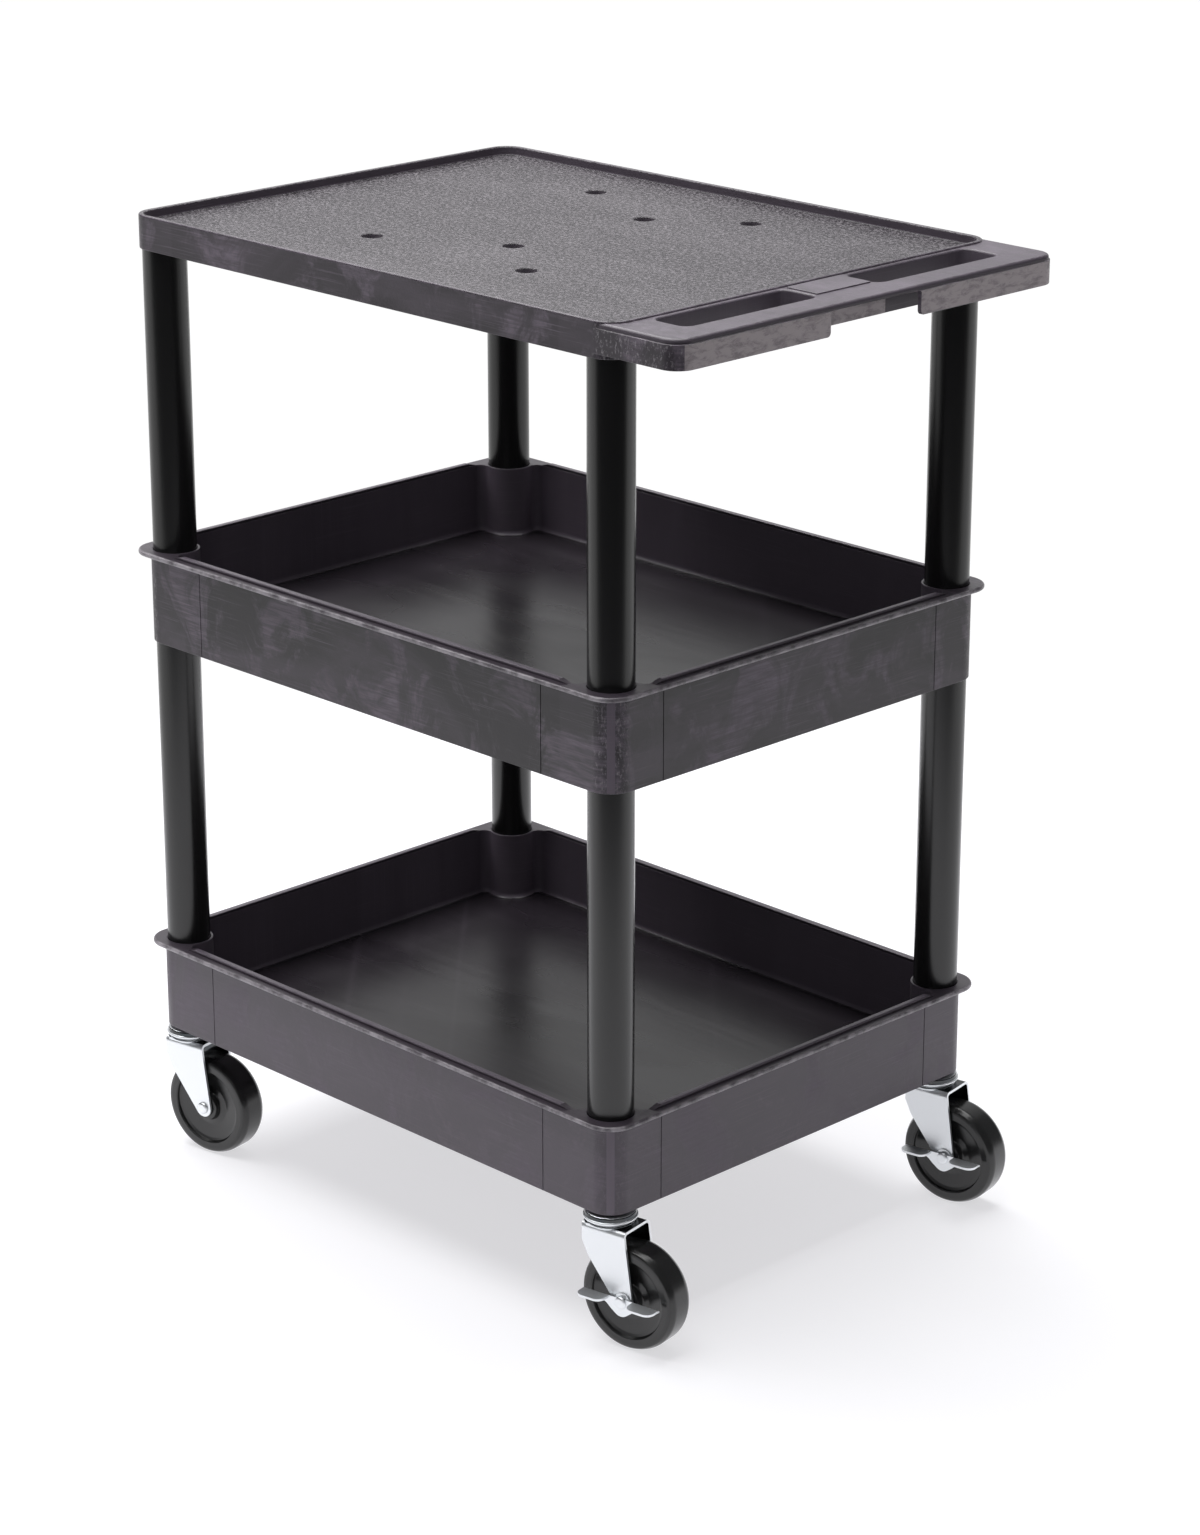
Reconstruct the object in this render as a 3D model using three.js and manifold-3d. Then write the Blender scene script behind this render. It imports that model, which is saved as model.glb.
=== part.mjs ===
// Rolling utility cart: a flat top shelf with a moulded pull handle, two tub shelves, eight round
// leg tubes, and four swivel stem casters, two of them with a rocker brake.
// Millimetres. +Z up, floor at Z = 0, +X towards the handle, origin under the middle of the cart.
import * as THREE from "three";
import { mergeVertices } from "three/addons/utils/BufferGeometryUtils.js";
import Module from "manifold-3d";

const wasm = await Module();
wasm.setup();

// ---------------------------------------------------------------- driving dimensions

const SHELF_LENGTH = 609.6; // 24 in
const SHELF_WIDTH = 462;
const CORNER_RADIUS = 22; // vertical corners, concentric with the legs
const GAP = 0.3; // air between pieces that touch on the real cart
const WALL = 4;
const LARGE_ROUND = 20; // sides of a leg or a wheel
const ROUND = 14; // sides of smaller turned pieces
const LARGE_ARC = 3; // half the sides of a rounded corner
const ARC = 1; // the same, on a corner under 10 mm

// Heights above the floor
const LOWER_TUB_BOTTOM = 124;
const SHELF_PITCH = 381; // 15 in from tub to tub
const TOP_SHELF_BOTTOM = 870;

// Tub shelf, measured up from the bottom of its skirt
const TUB_FLANGE_TOP = 87;
const FLANGE_THICKNESS = 4.5;
const FLANGE_OVERHANG = 9;
const FLANGE_CORNER_RADIUS = 25;
const RIDGE_HEIGHT = 3;
const RIDGE_WIDTH = 6;
const RIDGE_END_SETBACK = 32; // from a leg's axis to the ridge's end
const FLOOR_TOP = 20;
const FLOOR_THICKNESS = 5;
const BOSS_RADIUS = 22.5;
const RIB_THICKNESS = 3.5;
const SEAM_X = 222; // mould seams on the long and short skirts
const SEAM_Y = 170;
const SEAM_SIZE = 0.8;

// Leg tube and the sockets that it plugs into
const LEG_RADIUS = 20;
const LEG_WALL = 2;
const UPPER_SOCKET = 33; // down from a tub's flange
const LOWER_SOCKET = 16; // up from a tub's skirt
const TOP_SOCKET = 19; // up from the top shelf's skirt

// Top shelf, measured up from the bottom of its skirt
const TOP_HEIGHT = 31;
const LIP_WIDTH = 5;
const DECK_TOP = 22.5;
const DECK_THICKNESS = 4.5;
const DECK_HOLE_RADIUS = 9.5;
const DECK_HOLES = [
  [-108, 157],
  [88, 157],
  [8.5, 103],
  [8.5, -57],
  [-108, -117],
  [88, -117],
];

// Handle, moulded with the top shelf; X from the shelf's middle, Z from the shelf's skirt
const HANDLE_END = 378;
const HANDLE_BOTTOM = 4;
const HANDLE_TOP = 29.5;
const HANDLE_CORNER_RADIUS = 18;
const HANDLE_SKIN = 4.5;
const SLOT_X = [309, 347];
const SLOT_Y = [36, 190];
const SLOT_CORNER_RADIUS = 9;
const SLOT_WALL = 3.5;
const SLOT_WALL_BOTTOM = 2;
const NOTCH_HALF_WIDTH = 55;
const PANEL_HEIGHT = 1;

// Caster, from its own swivel axis and the floor
const CASTER_YAW = THREE.MathUtils.degToRad(10); // how far the wheels trail off the +X direction
const WHEEL_RADIUS = 48;
const TREAD_HALF_WIDTH = 15;
const HUB_HALF_WIDTH = 16;
const TRAIL = 27;
const FORK_INSIDE = 17; // half the gap between the fork's legs
const FORK_SHEET = 2.3;
const FORK_PLATE_BOTTOM = 109;
const FORK_NOSE = -17.5; // the plate's ends, from the swivel axis
const FORK_TAIL = 26.5;
const FORK_CROWN_TOP = 113.2;
const RACE_RADIUS = 24;
const RACE_HEIGHT = 6.6;
const CUP_DEPTH = 2.4; // hollow of the race, over the ball cage
const AXLE_RADIUS = 4;
const AXLE_END_RADIUS = 9; // rounded end of a fork leg
const STEM_RADIUS = 5.5;
const STEM_TOP = 158;
const RIVET_RADIUS = 4.5;
const SLEEVE_RADIUS = 10;
const SLEEVE_TOP = 162;

// Rocker brake on the outside of a fork leg
const BRAKE_SHEET = 2;
const CAM_THICKNESS = 1.2;
const CAM_RADIUS = 8;
const PAD_RISE = 4; // top of the web above the axle
const PAD_INNER = 13; // along the wheel, from the axle
const PAD_OUTER = 39;
const PAD_DEPTH = 16;

const HALF_LENGTH = SHELF_LENGTH / 2;
const HALF_WIDTH = SHELF_WIDTH / 2;
const LEG_X = HALF_LENGTH - CORNER_RADIUS;
const LEG_Y = HALF_WIDTH - CORNER_RADIUS;
const MIDDLE_TUB_BOTTOM = LOWER_TUB_BOTTOM + SHELF_PITCH;

const CORNERS = [
  { name: "front_left", x: -LEG_X, y: -LEG_Y, braked: false },
  { name: "front_right", x: -LEG_X, y: LEG_Y, braked: false },
  { name: "rear_left", x: LEG_X, y: -LEG_Y, braked: true },
  { name: "rear_right", x: LEG_X, y: LEG_Y, braked: true },
];

// ---------------------------------------------------------------- finishes

const finish = (color, roughness, metalness) => () =>
  new THREE.MeshStandardMaterial({ color, roughness, metalness });
const shelfPlastic = finish(0x3b393d, 0.6, 0);
const legPlastic = finish(0x0e0d0f, 0.25, 0);
const wheelPlastic = finish(0x1b1a1c, 0.35, 0);
const bushPlastic = finish(0x2a2a2c, 0.5, 0);
const zinc = finish(0xc9cdd0, 0.25, 1);

// ---------------------------------------------------------------- solids

// A manifold solid from a closed three.js geometry.
function solid(geometry) {
  const bare = geometry.clone();
  bare.deleteAttribute("normal");
  bare.deleteAttribute("uv");
  const merged = mergeVertices(bare, 1e-4);
  const positions = merged.getAttribute("position").array;
  const mesh = new wasm.Mesh({
    numProp: 3,
    vertProperties: new Float32Array(positions),
    triVerts: new Uint32Array(merged.index.array),
  });
  return new wasm.Manifold(mesh);
}

function geometryOf(made) {
  const mesh = made.getMesh();
  const geometry = new THREE.BufferGeometry();
  geometry.setAttribute("position", new THREE.BufferAttribute(mesh.vertProperties, 3));
  geometry.setIndex(new THREE.BufferAttribute(mesh.triVerts, 1));
  return geometry;
}

function piece(name, made, material) {
  const mesh = new THREE.Mesh(geometryOf(made), material());
  mesh.geometry.computeVertexNormals();
  mesh.name = name;
  return mesh;
}

function roundedRectangle(x0, x1, y0, y1, radius) {
  const shape = new THREE.Shape();
  shape.absarc(x1 - radius, y1 - radius, radius, 0, Math.PI / 2);
  shape.absarc(x0 + radius, y1 - radius, radius, Math.PI / 2, Math.PI);
  shape.absarc(x0 + radius, y0 + radius, radius, Math.PI, 1.5 * Math.PI);
  shape.absarc(x1 - radius, y0 + radius, radius, 1.5 * Math.PI, 2 * Math.PI);
  return shape;
}

// A prism of the shape between two heights.
function prism(shape, z0, z1, arc = ARC) {
  const geometry = new THREE.ExtrudeGeometry(shape, {
    depth: z1 - z0,
    bevelEnabled: false,
    curveSegments: arc,
  });
  return solid(geometry.translate(0, 0, z0));
}

// A block with rounded vertical corners, centred on the Z axis.
function slab(halfX, halfY, radius, z0, z1) {
  return prism(roundedRectangle(-halfX, halfX, -halfY, halfY, radius), z0, z1, LARGE_ARC);
}

function box(x0, x1, y0, y1, z0, z1) {
  const geometry = new THREE.BoxGeometry(x1 - x0, y1 - y0, z1 - z0);
  return solid(geometry.translate((x0 + x1) / 2, (y0 + y1) / 2, (z0 + z1) / 2));
}

// A body turned about Z from [radius, height] points: a loop, or a line that starts and ends on
// the axis. The points run anticlockwise with the axis on their left.
function turned(points, sides = ROUND) {
  const profile = points.map(([radius, height]) => new THREE.Vector2(radius, height));
  if (points[0][0] > 0) profile.push(profile[0].clone());
  const geometry = new THREE.LatheGeometry(profile, sides);
  return solid(geometry.rotateX(Math.PI / 2));
}

function cylinder(radius, z0, z1, sides = ROUND) {
  return turned([[0, z0], [radius, z0], [radius, z1], [0, z1]], sides);
}

function tube(inner, outer, z0, z1, sides = ROUND) {
  return turned([[inner, z0], [outer, z0], [outer, z1], [inner, z1]], sides);
}

const at = (made, x, y, z = 0) => made.translate([x, y, z]);
const union = (pieces) => pieces.reduce((a, b) => a.add(b));
const atCorners = (made) => union(CORNERS.map(({ x, y }) => at(made, x, y)));

// Crossed stiffening ribs between two heights, as long as the shelf.
function ribs(xs, ys, z0, z1) {
  const half = RIB_THICKNESS / 2;
  const across = xs.map((x) => box(x - half, x + half, -HALF_WIDTH, HALF_WIDTH, z0, z1));
  const along = ys.map((y) => box(-HALF_LENGTH, HALF_LENGTH, y - half, y + half, z0, z1));
  return union([...across, ...along]);
}

// ---------------------------------------------------------------- shelves

// The hollow under a floor or deck, left by the leg bosses and the ribs.
function underside(top, ribXs, ribYs, ribBottom) {
  const hollow = slab(HALF_LENGTH - WALL, HALF_WIDTH - WALL, CORNER_RADIUS - WALL, -1, top);
  const bosses = atCorners(cylinder(BOSS_RADIUS, -2, top + 1, LARGE_ROUND));
  return hollow.subtract(bosses).subtract(ribs(ribXs, ribYs, ribBottom, top + 1));
}

// Fine vertical grooves that the mould leaves on the four skirts.
function mouldSeams(top) {
  const half = SEAM_SIZE / 2;
  const long = HALF_LENGTH - half;
  const wide = HALF_WIDTH - half;
  const cuts = [];
  for (const side of [-1, 1]) {
    for (const end of [-1, 1]) {
      const x = end * SEAM_X;
      const y = side * SEAM_Y;
      const [y0, y1] = side < 0 ? [-HALF_WIDTH - 1, -wide] : [wide, HALF_WIDTH + 1];
      const [x0, x1] = end < 0 ? [-HALF_LENGTH - 1, -long] : [long, HALF_LENGTH + 1];
      cuts.push(box(x - half, x + half, y0, y1, -1, top));
      cuts.push(box(x0, x1, y - half, y + half, -1, top));
    }
  }
  return union(cuts);
}

// The flat flange round the mouth, its outer edge eased.
function tubFlange() {
  const ease = 1.2;
  const halfX = HALF_LENGTH + FLANGE_OVERHANG;
  const halfY = HALF_WIDTH + FLANGE_OVERHANG;
  const geometry = new THREE.ExtrudeGeometry(
    roundedRectangle(-halfX, halfX, -halfY, halfY, FLANGE_CORNER_RADIUS),
    {
      depth: FLANGE_THICKNESS - 2 * ease,
      bevelThickness: ease,
      bevelSize: ease,
      bevelOffset: -ease,
      bevelSegments: 1,
      curveSegments: LARGE_ARC,
    },
  );
  return solid(geometry.translate(0, 0, TUB_FLANGE_TOP - FLANGE_THICKNESS + ease));
}

// Low ridges on the flange along the four straight walls.
function tubRidges() {
  const top = TUB_FLANGE_TOP + RIDGE_HEIGHT;
  const end = RIDGE_WIDTH / 2 - 0.1;
  const inX = HALF_LENGTH - WALL;
  const inY = HALF_WIDTH - WALL;
  const long = LEG_X - RIDGE_END_SETBACK;
  const wide = LEG_Y - RIDGE_END_SETBACK;
  const bars = [];
  for (const side of [-1, 1]) {
    const [y0, y1] = side < 0 ? [-inY - RIDGE_WIDTH, -inY] : [inY, inY + RIDGE_WIDTH];
    const [x0, x1] = side < 0 ? [-inX - RIDGE_WIDTH, -inX] : [inX, inX + RIDGE_WIDTH];
    bars.push(prism(roundedRectangle(-long, long, y0, y1, end), TUB_FLANGE_TOP - 1, top));
    bars.push(prism(roundedRectangle(x0, x1, -wide, wide, end), TUB_FLANGE_TOP - 1, top));
  }
  return union(bars);
}

function tubShelf(bottomSockets) {
  const mouthTop = TUB_FLANGE_TOP + RIDGE_HEIGHT + 1;
  const outside = slab(HALF_LENGTH, HALF_WIDTH, CORNER_RADIUS, 0, TUB_FLANGE_TOP);
  const mouth = slab(
    HALF_LENGTH - WALL,
    HALF_WIDTH - WALL,
    CORNER_RADIUS - WALL,
    FLOOR_TOP,
    mouthTop,
  ).subtract(atCorners(cylinder(BOSS_RADIUS, FLOOR_TOP - 1, mouthTop + 1, LARGE_ROUND)));
  const under = underside(FLOOR_TOP - FLOOR_THICKNESS, [-140, 0, 140], [-75, 75], 4);
  const legSocket = cylinder(
    LEG_RADIUS + GAP,
    TUB_FLANGE_TOP - UPPER_SOCKET - GAP,
    TUB_FLANGE_TOP + 1,
    LARGE_ROUND,
  );
  return outside
    .add(tubFlange())
    .add(tubRidges())
    .subtract(mouth)
    .subtract(under)
    .subtract(atCorners(legSocket))
    .subtract(atCorners(bottomSockets))
    .subtract(mouldSeams(TUB_FLANGE_TOP - FLANGE_THICKNESS));
}

// The handle's outer block, two finger slots, the panel between them and the notch under it.
function handleBlock() {
  const shape = new THREE.Shape();
  const r = HANDLE_CORNER_RADIUS;
  const root = HALF_LENGTH - CORNER_RADIUS;
  shape.moveTo(root, -HALF_WIDTH);
  shape.absarc(HANDLE_END - r, -HALF_WIDTH + r, r, -Math.PI / 2, 0);
  shape.absarc(HANDLE_END - r, HALF_WIDTH - r, r, 0, Math.PI / 2);
  shape.lineTo(root, HALF_WIDTH);
  return prism(shape, HANDLE_BOTTOM, HANDLE_TOP, LARGE_ARC);
}

function slotPrisms(grow, z0, z1) {
  const radius = SLOT_CORNER_RADIUS + grow;
  const [x0, x1] = [SLOT_X[0] - grow, SLOT_X[1] + grow];
  const [y0, y1] = [SLOT_Y[0] - grow, SLOT_Y[1] + grow];
  return union([
    prism(roundedRectangle(x0, x1, y0, y1, radius), z0, z1),
    prism(roundedRectangle(x0, x1, -y1, -y0, radius), z0, z1),
  ]);
}

function handleHollow() {
  const top = HANDLE_TOP - HANDLE_SKIN;
  const outline = roundedRectangle(
    HALF_LENGTH,
    HANDLE_END - WALL,
    -HALF_WIDTH + WALL,
    HALF_WIDTH - WALL,
    HANDLE_CORNER_RADIUS - WALL,
  );
  const straightWall = box(
    SLOT_X[1],
    SLOT_X[1] + SLOT_WALL,
    SLOT_CORNER_RADIUS - SLOT_Y[1],
    SLOT_Y[1] - SLOT_CORNER_RADIUS,
    SLOT_WALL_BOTTOM,
    top + 1,
  );
  const slotWalls = slotPrisms(SLOT_WALL, SLOT_WALL_BOTTOM, top + 1).add(straightWall);
  const notch = box(
    SLOT_X[1] + SLOT_WALL + 1,
    HANDLE_END + 1,
    -NOTCH_HALF_WIDTH,
    NOTCH_HALF_WIDTH,
    -1,
    top,
  );
  return prism(outline, -1, top).subtract(slotWalls).add(notch);
}

function topShelf() {
  const body = slab(HALF_LENGTH, HALF_WIDTH, CORNER_RADIUS, 0, TOP_HEIGHT);
  const recess = slab(
    HALF_LENGTH - LIP_WIDTH,
    HALF_WIDTH - LIP_WIDTH,
    CORNER_RADIUS - LIP_WIDTH,
    DECK_TOP,
    TOP_HEIGHT + 1,
  );
  const under = underside(DECK_TOP - DECK_THICKNESS, [-200, -45, 59, 190], [14], 8);
  const panel = box(
    HALF_LENGTH - 1,
    SLOT_X[1] - 4,
    -SLOT_Y[0] + 4,
    SLOT_Y[0] - 4,
    HANDLE_TOP - 1,
    HANDLE_TOP + PANEL_HEIGHT,
  );
  const socket = cylinder(LEG_RADIUS + GAP, -1, TOP_SOCKET + GAP, LARGE_ROUND);
  const holes = DECK_HOLES.map(([x, y]) => at(cylinder(DECK_HOLE_RADIUS, -1, TOP_HEIGHT), x, y));
  return body
    .add(handleBlock())
    .subtract(handleHollow())
    .subtract(under)
    .subtract(recess)
    .add(panel)
    .subtract(slotPrisms(0, -1, TOP_HEIGHT + 1))
    .subtract(atCorners(socket))
    .subtract(union(holes));
}

// ---------------------------------------------------------------- legs

function leg(z0, z1) {
  return tube(LEG_RADIUS - LEG_WALL, LEG_RADIUS, z0, z1, LARGE_ROUND);
}

// ---------------------------------------------------------------- casters

// The plastic sleeve in the tub's boss that grips the caster's stem.
function stemSleeve() {
  const flangeTop = LOWER_TUB_BOTTOM - GAP;
  const bore = STEM_RADIUS + GAP;
  return turned([
    [bore, flangeTop - 2],
    [14, flangeTop - 2],
    [14, flangeTop],
    [SLEEVE_RADIUS, flangeTop],
    [SLEEVE_RADIUS, SLEEVE_TOP],
    [bore, SLEEVE_TOP],
  ]);
}

// The stem with its pressed upper race and the rivet that holds the fork.
function stem() {
  const raceTop = LOWER_TUB_BOTTOM - 2 - 2 * GAP;
  const raceBottom = raceTop - RACE_HEIGHT;
  const rivetTop = FORK_PLATE_BOTTOM - GAP;
  return turned([
    [0, rivetTop - 2.2],
    [7.5, rivetTop],
    [RIVET_RADIUS, rivetTop],
    [RIVET_RADIUS, raceBottom + CUP_DEPTH],
    [RACE_RADIUS - 2, raceBottom + CUP_DEPTH],
    [RACE_RADIUS - 2, raceBottom],
    [RACE_RADIUS, raceBottom],
    [RACE_RADIUS, raceTop],
    [STEM_RADIUS, raceTop],
    [STEM_RADIUS, STEM_TOP],
    [0, STEM_TOP],
  ]);
}

// The ball cage between the upper race and the fork's crown.
function bearingRing() {
  const z0 = FORK_CROWN_TOP + GAP;
  return turned([
    [12, z0],
    [19.5, z0],
    [19.5, z0 + 3],
    [12, z0 + 3],
  ]);
}

// A side leg of the fork, in its own plane: X along the wheel, Y up.
function forkLeg() {
  const shape = new THREE.Shape();
  const top = FORK_PLATE_BOTTOM + FORK_SHEET;
  shape.moveTo(FORK_NOSE, top);
  shape.lineTo(FORK_NOSE, top - 14);
  shape.lineTo(-10, top - 30);
  shape.absarc(TRAIL, WHEEL_RADIUS, AXLE_END_RADIUS, 1.2 * Math.PI, 2.02 * Math.PI);
  shape.lineTo(FORK_TAIL, top);
  const geometry = new THREE.ExtrudeGeometry(shape, {
    depth: FORK_SHEET,
    bevelEnabled: false,
    curveSegments: 4,
  });
  return solid(geometry.rotateX(Math.PI / 2));
}

function fork() {
  const outside = FORK_INSIDE + FORK_SHEET;
  const top = FORK_PLATE_BOTTOM + FORK_SHEET;
  const plate = box(FORK_NOSE, FORK_TAIL, -outside, outside, FORK_PLATE_BOTTOM, top);
  const nose = cylinder(RACE_RADIUS - 1, FORK_PLATE_BOTTOM, top).intersect(
    box(-30, 0, -outside, outside, 0, 200),
  );
  const crown = turned([
    [0, top - 1],
    [21, top - 1],
    [18, FORK_CROWN_TOP],
    [0, FORK_CROWN_TOP],
  ]);
  const axleHole = cylinder(AXLE_RADIUS + GAP, -40, 40).rotate([90, 0, 0]);
  return union([plate, nose, crown, at(forkLeg(), 0, -FORK_INSIDE), at(forkLeg(), 0, outside)])
    .subtract(at(axleHole, TRAIL, 0, WHEEL_RADIUS))
    .subtract(cylinder(RIVET_RADIUS + GAP, 80, 130));
}

// Pieces on the axle are turned about Z, then laid down with +Z towards the wheel's -Y side.
function onAxle(made) {
  return at(made.rotate([90, 0, 0]), TRAIL, 0, WHEEL_RADIUS);
}

// A flat of the many-sided tread lies on the floor.
function wheel() {
  const halfSide = Math.PI / LARGE_ROUND;
  const face = (side) => [
    [8 + GAP, side * HUB_HALF_WIDTH],
    [13, side * HUB_HALF_WIDTH],
    [13, side * 9],
    [33, side * 9],
    [38, side * TREAD_HALF_WIDTH],
    [44, side * TREAD_HALF_WIDTH],
    [WHEEL_RADIUS / Math.cos(halfSide), side * 10],
  ];
  const made = turned([...face(-1), ...face(1).reverse()], LARGE_ROUND);
  return made.rotate([0, 0, THREE.MathUtils.radToDeg(halfSide)]);
}

function wheelBush() {
  return tube(AXLE_RADIUS + GAP, 8, GAP - FORK_INSIDE, FORK_INSIDE - GAP);
}

// A round-headed bolt, its head against whatever lies outside the fork's leg.
function axleBolt(headBottom) {
  const tail = -(FORK_INSIDE + FORK_SHEET + 6.5);
  return turned([
    [0, tail],
    [AXLE_RADIUS, tail],
    [AXLE_RADIUS, headBottom],
    [5.6, headBottom],
    [4.4, headBottom + 2.4],
    [0, headBottom + 2.4],
  ]);
}

function axleNut() {
  const z1 = -(FORK_INSIDE + FORK_SHEET + GAP);
  const hexagon = cylinder(6.4, z1 - 4.5, z1, 6);
  return hexagon.subtract(cylinder(AXLE_RADIUS + GAP, z1 - 6, z1 + 1));
}

function brakeCam() {
  const z0 = FORK_INSIDE + FORK_SHEET + GAP;
  return tube(AXLE_RADIUS + GAP, CAM_RADIUS, z0, z0 + CAM_THICKNESS);
}

// The rocker: a web on the axle with a foot pad bent outwards at each end.
function brakeLever() {
  const z0 = FORK_INSIDE + FORK_SHEET + CAM_THICKNESS + 2 * GAP;
  const web = new THREE.Shape();
  web.moveTo(-PAD_INNER - 6, PAD_RISE);
  web.lineTo(-PAD_INNER - 6, PAD_RISE - BRAKE_SHEET);
  web.absarc(0, 0, 11, 1.08 * Math.PI, 1.92 * Math.PI);
  web.lineTo(PAD_INNER + 6, PAD_RISE - BRAKE_SHEET);
  web.lineTo(PAD_INNER + 6, PAD_RISE);
  const pads = [-1, 1].map((end) => {
    const [x0, x1] = end < 0 ? [-PAD_OUTER, -PAD_INNER] : [PAD_INNER, PAD_OUTER];
    const outline = roundedRectangle(x0, x1, -PAD_DEPTH, PAD_DEPTH, 7.5);
    const whole = prism(outline, PAD_RISE - BRAKE_SHEET, PAD_RISE);
    return whole.intersect(box(x0, x1, -PAD_DEPTH, 0, 0, 10)).rotate([-90, 0, 0]);
  });
  const made = union([prism(web, 0, BRAKE_SHEET), ...pads])
    .subtract(cylinder(AXLE_RADIUS + GAP, -5, 5));
  return at(made, 0, 0, z0);
}

function caster({ name, x, y, braked }) {
  const group = new THREE.Group();
  group.position.set(x, y, 0);
  group.rotation.z = CASTER_YAW;
  const outside = FORK_INSIDE + FORK_SHEET + GAP;
  const headBottom = braked ? outside + CAM_THICKNESS + BRAKE_SHEET + 2 * GAP : outside;
  group.add(
    piece(`stem_sleeve_${name}`, stemSleeve(), bushPlastic),
    piece(`caster_stem_${name}`, stem(), zinc),
    piece(`bearing_ring_${name}`, bearingRing(), zinc),
    piece(`caster_fork_${name}`, fork(), zinc),
    piece(`wheel_${name}`, onAxle(wheel()), wheelPlastic),
    piece(`wheel_bush_${name}`, onAxle(wheelBush()), bushPlastic),
    piece(`axle_bolt_${name}`, onAxle(axleBolt(headBottom)), zinc),
    piece(`axle_nut_${name}`, onAxle(axleNut()), zinc),
  );
  if (braked) {
    group.add(
      piece(`brake_cam_${name}`, onAxle(brakeCam()), zinc),
      piece(`brake_lever_${name}`, onAxle(brakeLever()), zinc),
    );
  }
  return group;
}

// ---------------------------------------------------------------- assembly

const cart = new THREE.Group();

function place(mesh, z) {
  mesh.position.z = z;
  cart.add(mesh);
}

const legBelow = cylinder(LEG_RADIUS + GAP, -1, LOWER_SOCKET + GAP, LARGE_ROUND);
const sleeveBelow = cylinder(SLEEVE_RADIUS + GAP, -1, SLEEVE_TOP + 1 - LOWER_TUB_BOTTOM);
place(piece("top_shelf", topShelf(), shelfPlastic), TOP_SHELF_BOTTOM);
place(piece("middle_tub", tubShelf(legBelow), shelfPlastic), MIDDLE_TUB_BOTTOM);
place(piece("lower_tub", tubShelf(sleeveBelow), shelfPlastic), LOWER_TUB_BOTTOM);

for (const corner of CORNERS) {
  const upper = leg(
    MIDDLE_TUB_BOTTOM + TUB_FLANGE_TOP - UPPER_SOCKET,
    TOP_SHELF_BOTTOM + TOP_SOCKET,
  );
  const lower = leg(
    LOWER_TUB_BOTTOM + TUB_FLANGE_TOP - UPPER_SOCKET,
    MIDDLE_TUB_BOTTOM + LOWER_SOCKET,
  );
  const upperLeg = piece(`upper_leg_${corner.name}`, upper, legPlastic);
  const lowerLeg = piece(`lower_leg_${corner.name}`, lower, legPlastic);
  for (const mesh of [upperLeg, lowerLeg]) {
    mesh.position.set(corner.x, corner.y, 0);
    cart.add(mesh);
  }
  cart.add(caster(corner));
}

// The origin is on the floor under the middle of the cart's overall box.
const overall = new THREE.Box3().setFromObject(cart, true);
const middle = overall.getCenter(new THREE.Vector3());
cart.position.set(-middle.x, -middle.y, -overall.min.z);

export default cart;
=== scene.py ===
"""Rolling utility cart: moulded shelves, gloss leg tubes and zinc-plated swivel casters, drawn
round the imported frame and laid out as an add-on."""

import math

import bmesh
import bpy
from bpy.props import FloatProperty, FloatVectorProperty, IntProperty, PointerProperty
from mathutils import Matrix, Vector


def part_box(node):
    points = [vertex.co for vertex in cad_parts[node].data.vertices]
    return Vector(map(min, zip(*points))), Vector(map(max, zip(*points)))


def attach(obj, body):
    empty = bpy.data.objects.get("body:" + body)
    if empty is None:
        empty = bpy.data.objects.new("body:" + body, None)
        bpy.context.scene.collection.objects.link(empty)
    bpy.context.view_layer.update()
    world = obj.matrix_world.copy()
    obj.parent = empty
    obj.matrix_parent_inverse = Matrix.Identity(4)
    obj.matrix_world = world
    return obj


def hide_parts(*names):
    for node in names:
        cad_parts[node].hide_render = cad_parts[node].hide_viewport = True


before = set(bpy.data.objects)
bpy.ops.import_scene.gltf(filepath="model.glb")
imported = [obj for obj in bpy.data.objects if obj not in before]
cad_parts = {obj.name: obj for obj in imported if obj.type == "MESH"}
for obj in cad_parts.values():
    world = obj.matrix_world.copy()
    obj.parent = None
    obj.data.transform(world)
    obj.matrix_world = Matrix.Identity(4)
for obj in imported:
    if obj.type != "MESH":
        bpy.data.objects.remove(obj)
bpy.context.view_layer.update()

bl_info = {
    "name": "Rolling Utility Cart",
    "version": (1, 0, 0),
    "blender": (4, 5, 0),
    "location": "View3D > Sidebar > Cart",
    "description": "Builds a three-shelf rolling utility cart round its packed frame",
    "category": "Object",
}

CORNERS = ("front_left", "front_right", "rear_left", "rear_right")
BRAKED = ("rear_left", "rear_right")
MM = 0.001

# ------------------------------------------------------------------ datums from the frame, in mm


def box_mm(node):
    low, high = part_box(node)
    return low / MM, high / MM


def middle_of(node):
    low, high = box_mm(node)
    return (low.x + high.x) / 2, (low.y + high.y) / 2


def corner_axis(corner):
    return middle_of(f"lower_leg_{corner}")


def caster_offset():
    """From a caster's swivel axis to the middle of its axle."""
    axle, axis = middle_of("wheel_bush_rear_left"), corner_axis("rear_left")
    return Vector((axle[0] - axis[0], axle[1] - axis[1]))


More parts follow.
